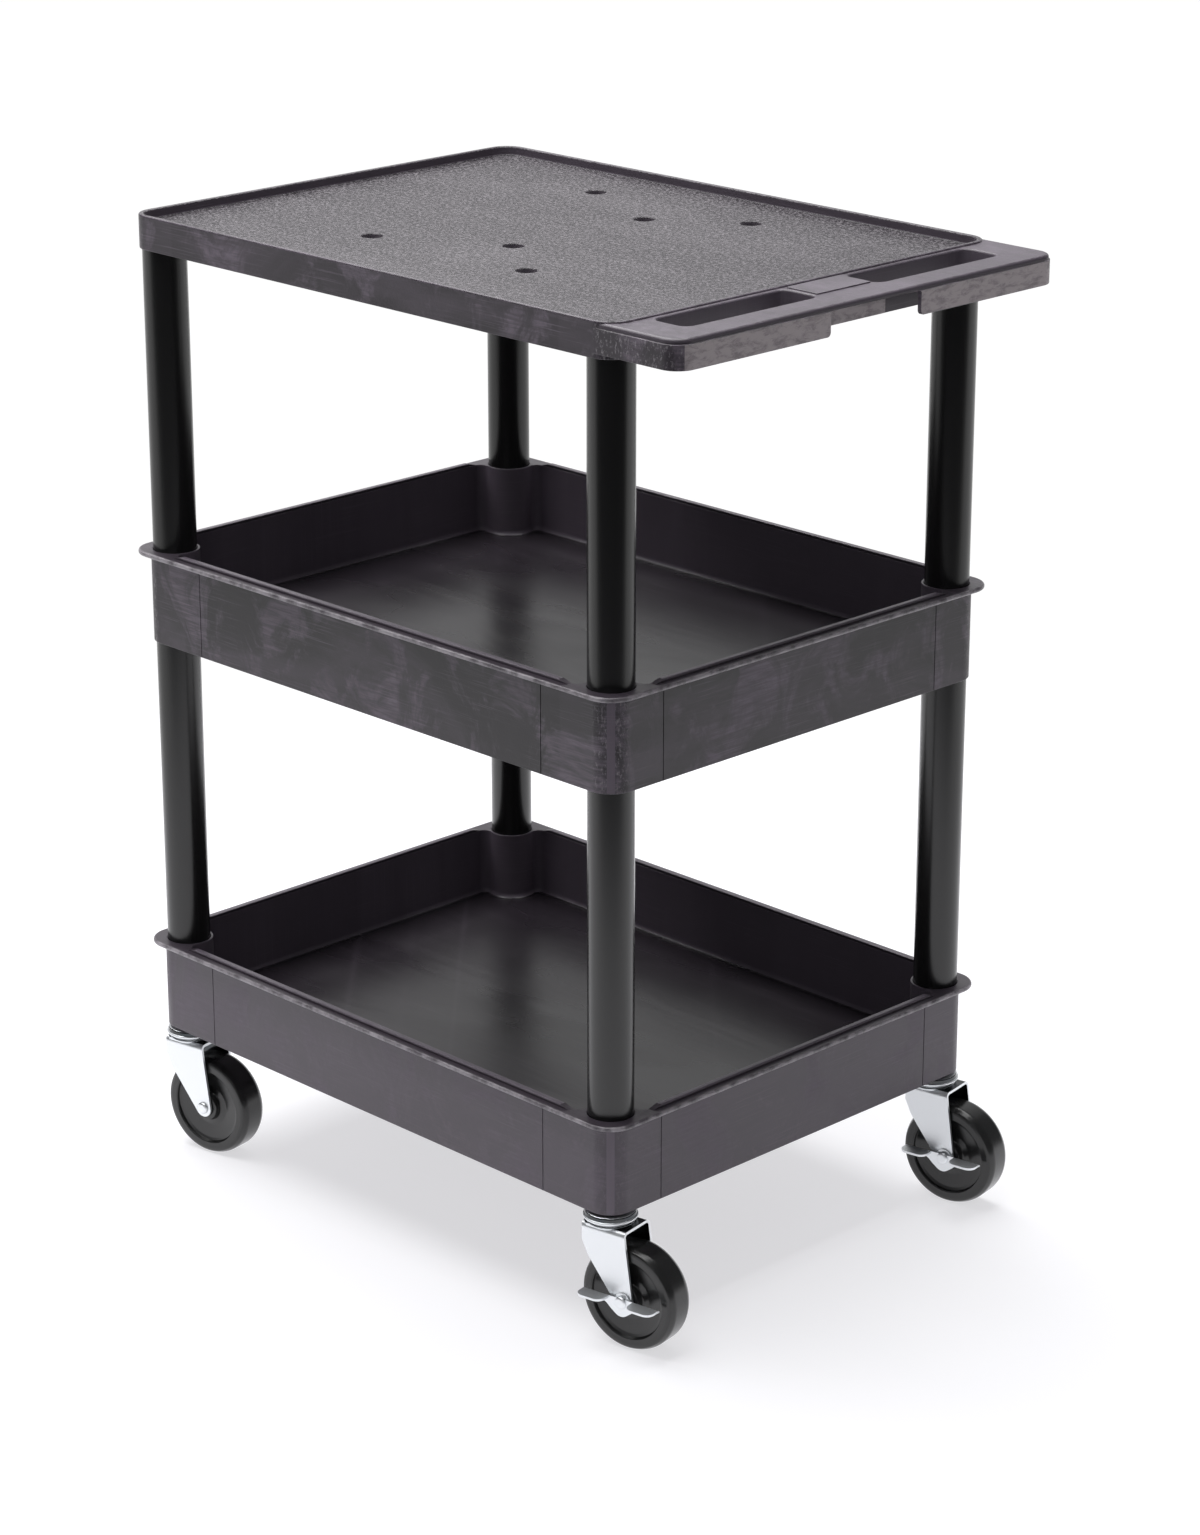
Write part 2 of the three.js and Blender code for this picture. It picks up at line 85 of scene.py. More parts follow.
SHELF_X, SHELF_Y = middle_of("middle_tub")
LEG_RADIUS = (box_mm("lower_leg_rear_left")[1].x - box_mm("lower_leg_rear_left")[0].x) / 2
LEG_X = corner_axis("rear_right")[0] - SHELF_X
LEG_Y = corner_axis("rear_right")[1] - SHELF_Y
CORNER_RADIUS = 22
HALF_X = LEG_X + CORNER_RADIUS
HALF_Y = LEG_Y + CORNER_RADIUS
TRAIL = caster_offset().length
CASTER_YAW = math.atan2(caster_offset().y, caster_offset().x)
WHEEL_RADIUS = box_mm("wheel_rear_left")[1].z / 2
AXLE_Z = WHEEL_RADIUS
CROWN_TOP = box_mm("caster_fork_rear_left")[1].z
STEM_LOW, STEM_TOP = (level.z for level in box_mm("caster_stem_rear_left"))
SLEEVE_LOW, SLEEVE_TOP = (level.z for level in box_mm("stem_sleeve_rear_left"))
CAGE_LOW, CAGE_TOP = (level.z for level in box_mm("bearing_ring_rear_left"))
RIVET_HEIGHT = 2.5
PLATE_BOTTOM = STEM_LOW + RIVET_HEIGHT
GAP = 0.3  # between neighbouring pieces
RACE_TOP = SLEEVE_LOW - GAP
SOCKET_RADIUS = LEG_RADIUS + GAP


# ------------------------------------------------------------------ settings


def length(name, default, description):
    return FloatProperty(name=name, default=default, min=0, unit="LENGTH",
                         description=description)


def colour(name, default, description):
    return FloatVectorProperty(name=name, default=default, size=3, min=0, max=1,
                               subtype="COLOR", description=description)


class CartShelfSettings(bpy.types.PropertyGroup):
    """Sizes of the moulded shelves."""

    wall: length("Wall", 0.004, "Thickness of a skirt")
    edge: length("Edge rounding", 0.0008, "Rounding of a shelf's lower edge")
    flange_overhang: length("Flange overhang", 0.009, "How far a tub's flange stands out")
    flange_thickness: length("Flange thickness", 0.0045, "Thickness of a tub's flange")
    ridge_width: length("Ridge width", 0.006, "Width of the ridge over a tub's wall")
    ridge_height: length("Ridge height", 0.003, "Height of the ridge over the flange")
    boss_radius: length("Boss radius", 0.0225, "Outer radius of the column round a leg's socket")
    floor_fillet: length("Floor fillet", 0.005, "Rounding between a tub's wall and its floor")
    lip_width: length("Lip width", 0.005, "Width of the bead round the top deck")
    handle_round: length("Handle rounding", 0.003, "Rounding of the grip's upper edge")
    slot_round: length("Slot rounding", 0.0022, "Rounding of a finger slot's upper edge")


class CartMetalSettings(bpy.types.PropertyGroup):
    """Sizes of the legs and casters."""

    leg_wall: length("Leg wall", 0.002, "Wall of a leg tube")
    fork_sheet: length("Fork sheet", 0.0023, "Thickness of the fork's sheet metal")
    fork_bend: length("Fork bend", 0.005, "Outer radius of the fork's bent shoulders")
    brake_sheet: length("Brake sheet", 0.002, "Thickness of the brake lever's sheet metal")
    round_steps: IntProperty(name="Turned steps", default=72, min=24, max=160,
                             description="Sides of a turned piece")


class CartFinishSettings(bpy.types.PropertyGroup):
    """Colours of the finishes."""

    shelf: colour("Shelf plastic", (0.040, 0.032, 0.042), "Moulded charcoal plastic")
    scuff: colour("Scuffed plastic", (0.152, 0.126, 0.160), "Where the plastic is rubbed pale")
    worn: colour("Worn plastic", (0.42, 0.39, 0.42), "Where an edge is rubbed through")
    leg: colour("Leg plastic", (0.005, 0.003, 0.006), "Gloss black tube")
    wheel: colour("Wheel plastic", (0.006, 0.006, 0.007), "Black wheel")
    zinc: colour("Zinc plate", (0.86, 0.88, 0.89), "Bright zinc plate")
    bush: colour("Bush plastic", (0.03, 0.03, 0.032), "Grey nylon")


class CartStageSettings(bpy.types.PropertyGroup):
    """The camera, floor and lights."""

    eye: FloatVectorProperty(name="Camera place", default=(2.501, -2.430, 1.634), size=3,
                             subtype="TRANSLATION", description="Where the camera stands")
    heading: FloatProperty(name="Heading", default=135.5, description="Degrees from +X")
    pitch: FloatProperty(name="Pitch", default=19.38, description="Degrees below level")
    lens: FloatProperty(name="Lens", default=95.45, min=10, description="Focal length in mm")
    floor: colour("Floor", (0.86, 0.86, 0.88), "Plain pale floor")


# ------------------------------------------------------------------ outlines, in mm


def arc(x, y, radius, start, end, steps):
    """Points on an arc between two angles in degrees."""
    angles = [math.radians(start + (end - start) * i / steps) for i in range(steps + 1)]
    return [(x + radius * math.cos(a), y + radius * math.sin(a)) for a in angles]


def rounded(x0, x1, y0, y1, radius, steps=10):
    """Outline maker for a rounded rectangle that is grown by some distance."""

    def outline(grow):
        r = radius + grow
        return (
            arc(x1 - radius, y1 - radius, r, 0, 90, steps)
            + arc(x0 + radius, y1 - radius, r, 90, 180, steps)
            + arc(x0 + radius, y0 + radius, r, 180, 270, steps)
            + arc(x1 - radius, y0 + radius, r, 270, 360, steps)
        )

    return outline


def centred(half_x, half_y, radius, steps=10):
    return rounded(-half_x, half_x, -half_y, half_y, radius, steps)


def disc(x, y, radius, steps=56):
    return lambda grow: arc(x, y, radius + grow, 0, 360 * (1 - 1 / steps), steps - 1)


def pocket(inset, boss, fillet):
    """Outline maker for the space inside the walls, which goes round the four leg bosses."""
    steps = 7

    def outline(grow):
        wall = CORNER_RADIUS - inset + grow
        column = boss - grow
        bend_radius = fillet + grow
        x = wall - bend_radius
        y = -math.sqrt((column + bend_radius) ** 2 - x * x)
        turn = math.degrees(math.atan2(y, x))
        corner = (
            arc(x, y, bend_radius, 0, turn + 180, steps)
            + arc(0, 0, column, turn, -270 - turn, 3 * steps)[1:-1]
            + arc(y, x, bend_radius, -90 - turn, 90, steps)
        )
        first = [(LEG_X + px, LEG_Y + py) for px, py in corner]
        second = [(-px, py) for px, py in reversed(first)]
        third = [(-px, -py) for px, py in first]
        fourth = [(px, -py) for px, py in reversed(first)]
        return first + second + third + fourth

    return outline


def smooth_path(corners, steps=5):
    """A closed path through (x, y, radius) corners, each rounded to its radius."""
    made = []
    for i, (x, y, radius) in enumerate(corners):
        here = Vector((x, y))
        back = (Vector(corners[i - 1][:2]) - here).normalized()
        on = (Vector(corners[(i + 1) % len(corners)][:2]) - here).normalized()
        if radius <= 0:
            made.append((x, y))
            continue
        half = back.angle(on) / 2
        centre = here + (back + on).normalized() * (radius / math.sin(half))
        start = here + back * (radius / math.tan(half)) - centre
        end = here + on * (radius / math.tan(half)) - centre
        turn = start.angle_signed(end)
        for k in range(steps + 1):
            a = -turn * k / steps
            c, s = math.cos(a), math.sin(a)
            made.append((centre.x + start.x * c - start.y * s,
                         centre.y + start.x * s + start.y * c))
    return made


def bend(start, end, level_first, steps=5):
    """A quarter turn between two (grow, height) points, level or upright at its start."""
    made = []
    for i in range(steps + 1):
        a = math.pi / 2 * i / steps
        slow, fast = 1 - math.cos(a), math.sin(a)
        across, up = (fast, slow) if level_first else (slow, fast)
        made.append((start[0] + (end[0] - start[0]) * across,
                     start[1] + (end[1] - start[1]) * up))
    return made


# ------------------------------------------------------------------ solids


def as_object(mesh_maker, name="solid"):
    mesh = bpy.data.meshes.new(name)
    mesh_maker.to_mesh(mesh)
    mesh_maker.free()
    made = bpy.data.objects.new(name, mesh)
    bpy.context.scene.collection.objects.link(made)
    return made


def loft(rings):
    """A closed body through rings of points: the first ring's edges are extruded to each next."""
    bm = bmesh.new()
    ring = [bm.verts.new(p) for p in rings[0]]
    bm.faces.new(ring)
    edges = list(bm.edges)
    for points in rings[1:]:
        made = bmesh.ops.extrude_edge_only(bm, edges=edges)["geom"]
        fresh = {v for v in made if isinstance(v, bmesh.types.BMVert)}
        edges = [e for e in made if isinstance(e, bmesh.types.BMEdge)
                 and e.verts[0] in fresh and e.verts[1] in fresh]
        ring = [next(e.other_vert(v) for e in v.link_edges if e.other_vert(v) in fresh)
                for v in ring]
        for vert, point in zip(ring, points):
            vert.co = point
    bm.faces.new(ring)
    bmesh.ops.recalc_face_normals(bm, faces=bm.faces)
    return bm


def stack(outline, steps):
    """A body of the outline at (grow, height) steps."""
    return loft([[(x, y, z) for x, y in outline(grow)] for grow, z in steps])


def along(points, start, end, axis):
    """A prism of a flat path: axis X takes the points as (y, z), and axis Y as (x, z)."""
    if axis == "X":
        return loft([[(w, a, b) for a, b in points] for w in (start, end)])
    return loft([[(a, w, b) for a, b in points] for w in (start, end)])


def block(x0, x1, y0, y1, z0, z1):
    bm = bmesh.new()
    bmesh.ops.create_cube(bm, size=1)
    bmesh.ops.scale(bm, vec=(x1 - x0, y1 - y0, z1 - z0), verts=bm.verts)
    middle = ((x0 + x1) / 2, (y0 + y1) / 2, (z0 + z1) / 2)
    bmesh.ops.translate(bm, vec=middle, verts=bm.verts)
    return bm


def turned(profile, steps=None):
    """A body spun about Z from a closed (radius, height) path."""
    steps = steps or bpy.context.scene.cart_metal.round_steps
    bm = bmesh.new()
    verts = [bm.verts.new((r, 0, z)) for r, z in profile]
    for a, b in zip(verts, verts[1:] + verts[:1]):
        if not (a.co.x < 1e-6 and b.co.x < 1e-6):
            bm.edges.new((a, b))
    bmesh.ops.spin(bm, geom=bm.verts[:] + bm.edges[:], cent=(0, 0, 0), axis=(0, 0, 1),
                   angle=math.tau, steps=steps, use_merge=True, use_duplicate=False)
    bmesh.ops.remove_doubles(bm, verts=bm.verts, dist=1e-4)
    bmesh.ops.recalc_face_normals(bm, faces=bm.faces)
    return bm


def lumped(makers):
    """Several separate bodies as one mesh."""
    whole = bmesh.new()
    for bm in makers:
        part = bpy.data.meshes.new("part")
        bm.to_mesh(part)
        bm.free()
        whole.from_mesh(part)
        bpy.data.meshes.remove(part)
    return whole


def moved(bm, matrix):
    bmesh.ops.transform(bm, matrix=matrix, verts=bm.verts)
    return bm


def at_legs(maker):
    return lumped([moved(maker(), Matrix.Translation((x, y, 0)))
                   for x in (-LEG_X, LEG_X) for y in (-LEG_Y, LEG_Y)])


def carved(base, steps):
    """The base after joining ("UNION"), cutting ("DIFFERENCE") or keeping ("INTERSECT")."""
    body = as_object(base)
    tools = []
    for operation, maker in steps:
        tool = as_object(maker)
        tools.append(tool)
        modifier = body.modifiers.new(operation, "BOOLEAN")
        modifier.operation = operation
        modifier.solver = "EXACT"
        modifier.object = tool
    graph = bpy.context.evaluated_depsgraph_get()
    mesh = bpy.data.meshes.new_from_object(body.evaluated_get(graph))
    bm = bmesh.new()
    bm.from_mesh(mesh)
    bpy.data.meshes.remove(mesh)
    for done in [body, *tools]:
        data = done.data
        bpy.data.objects.remove(done)
        bpy.data.meshes.remove(data)
    bmesh.ops.remove_doubles(bm, verts=bm.verts, dist=0.002)
    bmesh.ops.dissolve_degenerate(bm, edges=bm.edges, dist=0.002)
    return bm


def piece(name, bm, place, body, materials, nodes, choose=None, soften=0, sharp=34,
          bevel_finish=-1):
    """The finished object: mm become metres, its place goes into its mesh."""
    bmesh.ops.transform(bm, matrix=place @ Matrix.Scale(MM, 4), verts=bm.verts)
    if place.is_negative:
        bmesh.ops.reverse_faces(bm, faces=bm.faces)
    made = as_object(bm, name)
    for material in materials:
        made.data.materials.append(material)
    if choose:
        inverse = place.inverted()
        for face in made.data.polygons:
            local = inverse @ face.center / MM
            face.material_index = choose(local, face.normal)
    made.data.shade_smooth()
    made.data.set_sharp_from_angle(angle=math.radians(sharp))
    if soften:
        edge = made.modifiers.new("Edges", "BEVEL")
        edge.width = soften * MM
        edge.segments = 2
        edge.limit_method = "ANGLE"
        edge.angle_limit = math.radians(40)
        edge.use_clamp_overlap = True
        edge.harden_normals = False
        edge.material = bevel_finish
    level = made.modifiers.new("Level", "WEIGHTED_NORMAL")
    level.keep_sharp = True
    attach(made, body)
    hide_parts(*nodes)
    return made


# ------------------------------------------------------------------ shader helpers


def add(tree, kind, inputs=(), **settings):
    node = tree.nodes.new(kind)
    for key, value in settings.items():
        setattr(node, key, value)
    for key, value in dict(inputs).items():
        if isinstance(value, bpy.types.NodeSocket):
            tree.links.new(value, node.inputs[key])
        else:
            node.inputs[key].default_value = value
    return node


def maths(tree, operation, a, b=0.0, c=None):
    inputs = {0: a, 1: b}
    if c is not None:
        inputs[2] = c
    return add(tree, "ShaderNodeMath", inputs, operation=operation).outputs[0]


def ranged(tree, value, low, high, to_low=0.0, to_high=1.0):
    inputs = {"Value": value, "From Min": low, "From Max": high,
              "To Min": to_low, "To Max": to_high}
    node = add(tree, "ShaderNodeMapRange", inputs, interpolation_type="SMOOTHSTEP")
    return node.outputs["Result"]


def noise(tree, vector, scale, detail=4.0, roughness=0.5, distortion=0.0):
    inputs = {"Vector": vector, "Scale": scale, "Detail": detail, "Roughness": roughness,
              "Distortion": distortion}
    return add(tree, "ShaderNodeTexNoise", inputs).outputs["Fac"]


def stretched(tree, vector, turn, size):
    """The vector turned by degrees about Z, then scaled."""
    node = add(tree, "ShaderNodeMapping", {"Vector": vector, "Scale": size,
               "Rotation": (0, 0, math.radians(turn))}, vector_type="POINT")
    return node.outputs["Vector"]


def mixed(tree, factor, first, second):
    node = add(tree, "ShaderNodeMix", data_type="RGBA", clamp_factor=True)
    for index, value in ((0, factor), (6, first), (7, second)):
        if isinstance(value, bpy.types.NodeSocket):
            tree.links.new(value, node.inputs[index])
        elif index:
            node.inputs[index].default_value = (*value[:3], 1)
        else:
            node.inputs[index].default_value = value
    return node.outputs[2]


def group(name, inputs, outputs, build):
    """A shader node group with float or vector sockets, built once."""
    if name in bpy.data.node_groups:
        return bpy.data.node_groups[name]
    tree = bpy.data.node_groups.new(name, "ShaderNodeTree")
    for socket, kind, default in inputs:
        made = tree.interface.new_socket(socket, in_out="INPUT", socket_type=kind)
        if default is not None:
            made.default_value = default
    for socket in outputs:
        tree.interface.new_socket(socket, in_out="OUTPUT", socket_type="NodeSocketFloat")
    source = tree.nodes.new("NodeGroupInput")
    sink = tree.nodes.new("NodeGroupOutput")
    for socket, value in build(tree, source.outputs).items():
        tree.links.new(value, sink.inputs[socket])
    return tree


def use(tree, made, inputs):
    node = tree.nodes.new("ShaderNodeGroup")
    node.node_tree = made
    for key, value in inputs.items():
        if isinstance(value, bpy.types.NodeSocket):
            tree.links.new(value, node.inputs[key])
        else:
            node.inputs[key].default_value = value
    return node.outputs


FLOAT, VECTOR = "NodeSocketFloat", "NodeSocketVector"


def hairlines_group():
    """Fine straight scratches in three directions over a flat (u, v) vector in metres."""

    def build(tree, given):
        lines = []
        for turn, size in ((24, (8, 430, 1)), (-38, (11, 560, 1)), (66, (13, 500, 1))):
            across = stretched(tree, given["Vector"], turn, size)
            lines.append(ranged(tree, noise(tree, across, 1.0, 3.0, 0.6), 0.57, 0.72))
        both = maths(tree, "MAXIMUM", lines[0], lines[1])
        every = maths(tree, "MAXIMUM", both, lines[2])
        patch = ranged(tree, noise(tree, given["Vector"], 14.0, 3.0, 0.6), 0.38, 0.66)
        worn = maths(tree, "MULTIPLY", every, patch)
        return {"Mask": maths(tree, "MULTIPLY", worn, given["Amount"])}

    inputs = (("Vector", VECTOR, None), ("Amount", FLOAT, 1.0))
    return group("Hairline scratches", inputs, ("Mask",), build)


def clouds_group():
    """Cloudy streaks that the rubbed plastic has, over a flat (u, v) vector in metres."""

    def build(tree, given):
        broad = noise(tree, stretched(tree, given["Vector"], 8, (5, 13, 1)), 1.0, 5.0, 0.62, 0.8)
        return {"Broad": ranged(tree, broad, 0.40, 0.68)}

    return group("Cloudy streaks", (("Vector", VECTOR, None),), ("Broad",), build)


def grain_group():
    """Pebble grain of a textured mould, with a speckle mask that the deck uses as painted
    highlights on the grain.
    """

    def build(tree, given):
        inputs = {"Vector": given["Vector"], "Scale": given["Scale"], "Randomness": 1.0}
        cells = add(tree, "ShaderNodeTexVoronoi", inputs, feature="SMOOTH_F1")
        cells.inputs["Smoothness"].default_value = 0.6
        pebble = ranged(tree, cells.outputs["Distance"], 0.15, 0.75, 1.0, 0.0)
        fine = noise(tree, given["Vector"], given["Scale"], 2.0, 0.6)
        height = maths(tree, "ADD", pebble, maths(tree, "MULTIPLY", fine, 0.6))
        glint_speckle = ranged(tree, fine, 0.50, 0.66)
        return {"Height": height, "Painted glints": glint_speckle}

    inputs = (("Vector", VECTOR, None), ("Scale", FLOAT, 700.0))
    return group("Pebble grain", inputs, ("Height", "Painted glints"), build)


def outline_group():
    """Distance in metres outside a rounded rectangle about the origin, and how near a point is
    to one of its corners: 0 to 1 round the corner, and in metres along the sides."""

    def build(tree, given):
        split = add(tree, "ShaderNodeSeparateXYZ", {"Vector": given["Vector"]}).outputs
        over = []
        for axis, half in (("X", "Half X"), ("Y", "Half Y")):
            inner = maths(tree, "SUBTRACT", given[half], given["Radius"])
            over.append(maths(tree, "SUBTRACT", maths(tree, "ABSOLUTE", split[axis]), inner))
        outside = [maths(tree, "MAXIMUM", value, 0.0) for value in over]
        squares = [maths(tree, "MULTIPLY", value, value) for value in outside]
        reach = maths(tree, "SQRT", maths(tree, "ADD", *squares))
        inside = maths(tree, "MINIMUM", maths(tree, "MAXIMUM", *over), 0.0)
        distance = maths(tree, "SUBTRACT", maths(tree, "ADD", reach, inside), given["Radius"])
        low = maths(tree, "MINIMUM", *over)
        return {"Distance": distance, "Corner": ranged(tree, low, -0.002, 0.006),
                "Near": low}

    inputs = (("Vector", VECTOR, None), ("Half X", FLOAT, 0.3), ("Half Y", FLOAT, 0.2),
              ("Radius", FLOAT, 0.02))
    return group("Shelf outline", inputs, ("Distance", "Corner", "Near"), build)


def new_material(name):
    material = bpy.data.materials.new(name)
    material.use_nodes = True
    tree = material.node_tree
    tree.nodes.clear()
    surface = add(tree, "ShaderNodeBsdfPrincipled")
    output = tree.nodes.new("ShaderNodeOutputMaterial")
    tree.links.new(surface.outputs["BSDF"], output.inputs["Surface"])
    place = tree.nodes.new("ShaderNodeTexCoord").outputs["Object"]
    return material, tree, surface, place


def wire(tree, surface, values):
    for socket, value in values.items():
        if isinstance(value, bpy.types.NodeSocket):
            tree.links.new(value, surface.inputs[socket])
        else:
            surface.inputs[socket].default_value = value


def bumped(tree, height, strength, distance, normal=None):
    inputs = {"Height": height, "Strength": strength, "Distance": distance}
    if normal is not None:
        inputs["Normal"] = normal
    return add(tree, "ShaderNodeBump", inputs).outputs["Normal"]


def from_middle(tree, place):
    """Object coordinates counted from the shelf's middle."""
    back = (-SHELF_X * MM, -SHELF_Y * MM, 0)
    node = add(tree, "ShaderNodeMapping", {"Vector": place, "Location": back})
    return node.outputs["Vector"]


def shelf_edges(tree, middle, grow, radius):
    """The outline group for the shelf's plan, grown by some millimetres."""
    return use(tree, outline_group(), {
        "Vector": middle, "Half X": (HALF_X + grow) * MM, "Half Y": (HALF_Y + grow) * MM,
        "Radius": radius * MM})


def round_the_side(tree, place):
    """(u, v) over upright faces: along the shelf's side, and up."""
    split = add(tree, "ShaderNodeSeparateXYZ", {"Vector": place}).outputs
    side = maths(tree, "ADD", split["X"], split["Y"])
    return add(tree, "ShaderNodeCombineXYZ", {"X": side, "Y": split["Z"]}).outputs["Vector"]


def skirt_material(name, wear, dark):
    """Charcoal moulding rubbed into cloudy streaks, with hairlines and sparkling corners."""
    finish = bpy.context.scene.cart_finish
    material, tree, surface, place = new_material(name)
    flat = round_the_side(tree, place)
    clouds = use(tree, clouds_group(), {"Vector": flat})
    lines = use(tree, hairlines_group(), {"Vector": flat, "Amount": 0.5 + 0.5 * wear})
    edges = shelf_edges(tree, from_middle(tree, place), 0, CORNER_RADIUS)
    brushed = noise(tree, stretched(tree, flat, -52, (24, 260, 1)), 1.0, 5.0, 0.65, 0.3)
    patch = noise(tree, stretched(tree, flat, 24, (17, 13, 1)), 1.0, 6.0, 0.66, 0.9)
    patches = maths(tree, "MULTIPLY", ranged(tree, patch, 0.47, 0.63),
                    ranged(tree, brushed, 0.38, 0.62, 0.30, 0.90))
    streaks = maths(tree, "MULTIPLY_ADD", clouds["Broad"], 0.28, patches)
    band = ranged(tree, edges["Near"], -0.040, -0.036)
    pale = maths(tree, "MULTIPLY", streaks, 0.25 + 0.65 * wear)
    pale = maths(tree, "MULTIPLY_ADD", band, 0.08 * wear, pale)
    pale = maths(tree, "MULTIPLY_ADD", lines["Mask"], 0.45, pale)
    pale = maths(tree, "MULTIPLY_ADD", edges["Corner"], -0.06 * wear, pale)
    speck = noise(tree, stretched(tree, place, 0, (420, 420, 200)), 1.0, 4.0, 0.8)
    glint = maths(tree, "MULTIPLY", ranged(tree, speck, 0.52, 0.66), edges["Corner"])
    scuffed = mixed(tree, pale, [c * dark for c in finish.shelf], finish.scuff)
    sparkle = maths(tree, "MULTIPLY", glint, 0.45 * wear * wear)
    height = maths(tree, "MULTIPLY_ADD", lines["Mask"], 0.6, noise(tree, place, 420.0, 3.0, 0.6))
    wire(tree, surface, {
        "Base Color": mixed(tree, sparkle, scuffed, finish.worn),
        "Roughness": ranged(tree, streaks, 0.0, 1.0, 0.44, 0.58),
        "Normal": bumped(tree, height, 0.22, 0.0006),
        "Specular IOR Level": 0.5,
    })
    return material


def rim_material(name, lift):
    """Flange and ridge: darker flats, with the flange's outer edge rubbed bright in patches."""
    finish = bpy.context.scene.cart_finish
    material, tree, surface, place = new_material(name)
    middle = from_middle(tree, place)
    reach = bpy.context.scene.cart_shelves.flange_overhang / MM
    edges = shelf_edges(tree, middle, reach, FLANGE_RADIUS)
    patches = ranged(tree, noise(tree, place, 60.0, 4.0, 0.65), 0.30, 0.66, 0.05, 0.70)
    rub = maths(tree, "MULTIPLY", ranged(tree, edges["Distance"], -0.0024, -0.0004), patches)
    lines = use(tree, hairlines_group(), {"Vector": middle, "Amount": 0.8})
    pale = maths(tree, "MULTIPLY_ADD", lines["Mask"], 0.35, lift)
    height = maths(tree, "ADD", noise(tree, place, 600.0, 3.0, 0.6), lines["Mask"])
    scuffed = mixed(tree, pale, finish.shelf, finish.scuff)
    wire(tree, surface, {
        "Base Color": mixed(tree, rub, scuffed, finish.worn),
        "Roughness": ranged(tree, patches, 0.0, 1.0, 0.36, 0.46),
        "Normal": bumped(tree, height, 0.20, 0.0005),
    })
    return material


def inside_material(name, dark, lift, roughness):
    """Inside of a tub: satin, with faint creases and scuffs, paled all over by its lift, which on
    the walls is partly painted light.
    """
    finish = bpy.context.scene.cart_finish
    material, tree, surface, place = new_material(name)
    middle = from_middle(tree, place)
    flat = round_the_side(tree, place)
    clouds = use(tree, clouds_group(), {"Vector": middle})
    lines = use(tree, hairlines_group(), {"Vector": flat, "Amount": 0.7})
    floor_lines = use(tree, hairlines_group(), {"Vector": middle, "Amount": 0.5})
    both = maths(tree, "MAXIMUM", lines["Mask"], floor_lines["Mask"])
    wave = noise(tree, stretched(tree, middle, 20, (3, 9, 1)), 1.0, 3.0, 0.5, 0.6)
    cloudy = maths(tree, "MULTIPLY_ADD", clouds["Broad"], 0.25 * lift + 0.04, lift)
    pale = maths(tree, "MULTIPLY_ADD", both, 0.30, cloudy)
    fine = bumped(tree, noise(tree, place, 700.0, 3.0, 0.6), 0.10, 0.0004)
    wire(tree, surface, {
        "Base Color": mixed(tree, pale, [c * dark for c in finish.shelf], finish.scuff),
        "Roughness": ranged(tree, wave, 0.3, 0.7, roughness, roughness + 0.10),
        "Normal": bumped(tree, wave, 0.35, 0.004, fine),
    })
    return material


def deck_material(name):
    """Pebbled mould texture, with painted highlights speckled over the grain and a few rubbed
    patches.
    """
    finish = bpy.context.scene.cart_finish
    material, tree, surface, place = new_material(name)
    scale = 560.0
    grain = use(tree, grain_group(), {"Vector": place, "Scale": scale})
    clouds = use(tree, clouds_group(), {"Vector": from_middle(tree, place)})
    coarse = ranged(tree, noise(tree, place, scale * 0.5, 4.0, 0.85), 0.48, 0.58)
    # painted highlight: the grain's speckle and the coarse blotches paint the sparkle of light on
    # the pebbles into the colour
    grain_glints = maths(tree, "MULTIPLY_ADD", grain["Painted glints"], 0.2, coarse)
    pale = maths(tree, "MULTIPLY", grain_glints, 0.235)
    pale = maths(tree, "MULTIPLY_ADD", clouds["Broad"], 0.04, pale)
    wire(tree, surface, {
        "Base Color": mixed(tree, pale, [c * 0.35 for c in finish.shelf], finish.worn),
        "Roughness": ranged(tree, grain_glints, 0.0, 1.0, 0.36, 0.50),
        "Specular IOR Level": 0.22,
        "Normal": bumped(tree, grain["Height"], 0.60, 0.0004),
    })
    return material


def front_material(name):
    """The handle's upright faces: rubbed pale, with darker smears."""
    finish = bpy.context.scene.cart_finish
    material, tree, surface, place = new_material(name)
    flat = round_the_side(tree, place)
    lines = use(tree, hairlines_group(), {"Vector": flat, "Amount": 1.0})
    rubs = noise(tree, stretched(tree, flat, 30, (60, 150, 1)), 1.0, 6.0, 0.75, 0.5)
    smears = ranged(tree, rubs, 0.34, 0.64)
    pale = maths(tree, "MULTIPLY_ADD", smears, 0.65, 0.55)
    pale = maths(tree, "MULTIPLY_ADD", lines["Mask"], 0.3, pale)
    warm = (finish.worn[0], finish.worn[1] * 0.95, finish.worn[2] * 0.92)
    wire(tree, surface, {
        "Base Color": mixed(tree, pale, finish.shelf, warm),
        "Roughness": 0.55,
        "Normal": bumped(tree, smears, 0.25, 0.0005),
    })
    return material


def grip_material(name):
    """The handle's flats: smoother than the deck, rubbed pale by hands in cloudy, mottled patches.
    """
    finish = bpy.context.scene.cart_finish
    material, tree, surface, place = new_material(name)
    middle = from_middle(tree, place)
    clouds = use(tree, clouds_group(), {"Vector": middle})
    lines = use(tree, hairlines_group(), {"Vector": middle, "Amount": 0.9})
    mottle = ranged(tree, noise(tree, place, 130.0, 5.0, 0.7), 0.36, 0.66)
    pale = maths(tree, "MULTIPLY_ADD", clouds["Broad"], 0.22, maths(tree, "MULTIPLY", mottle, 0.3))
    pale = maths(tree, "MULTIPLY_ADD", lines["Mask"], 0.35, pale)
    wire(tree, surface, {
        "Base Color": mixed(tree, pale, finish.shelf, finish.scuff),
        "Roughness": ranged(tree, mottle, 0.0, 1.0, 0.34, 0.44),
        "Specular IOR Level": 0.4,
        "Normal": bumped(tree, noise(tree, place, 500.0, 3.0, 0.6), 0.25, 0.0005),
    })
    return material


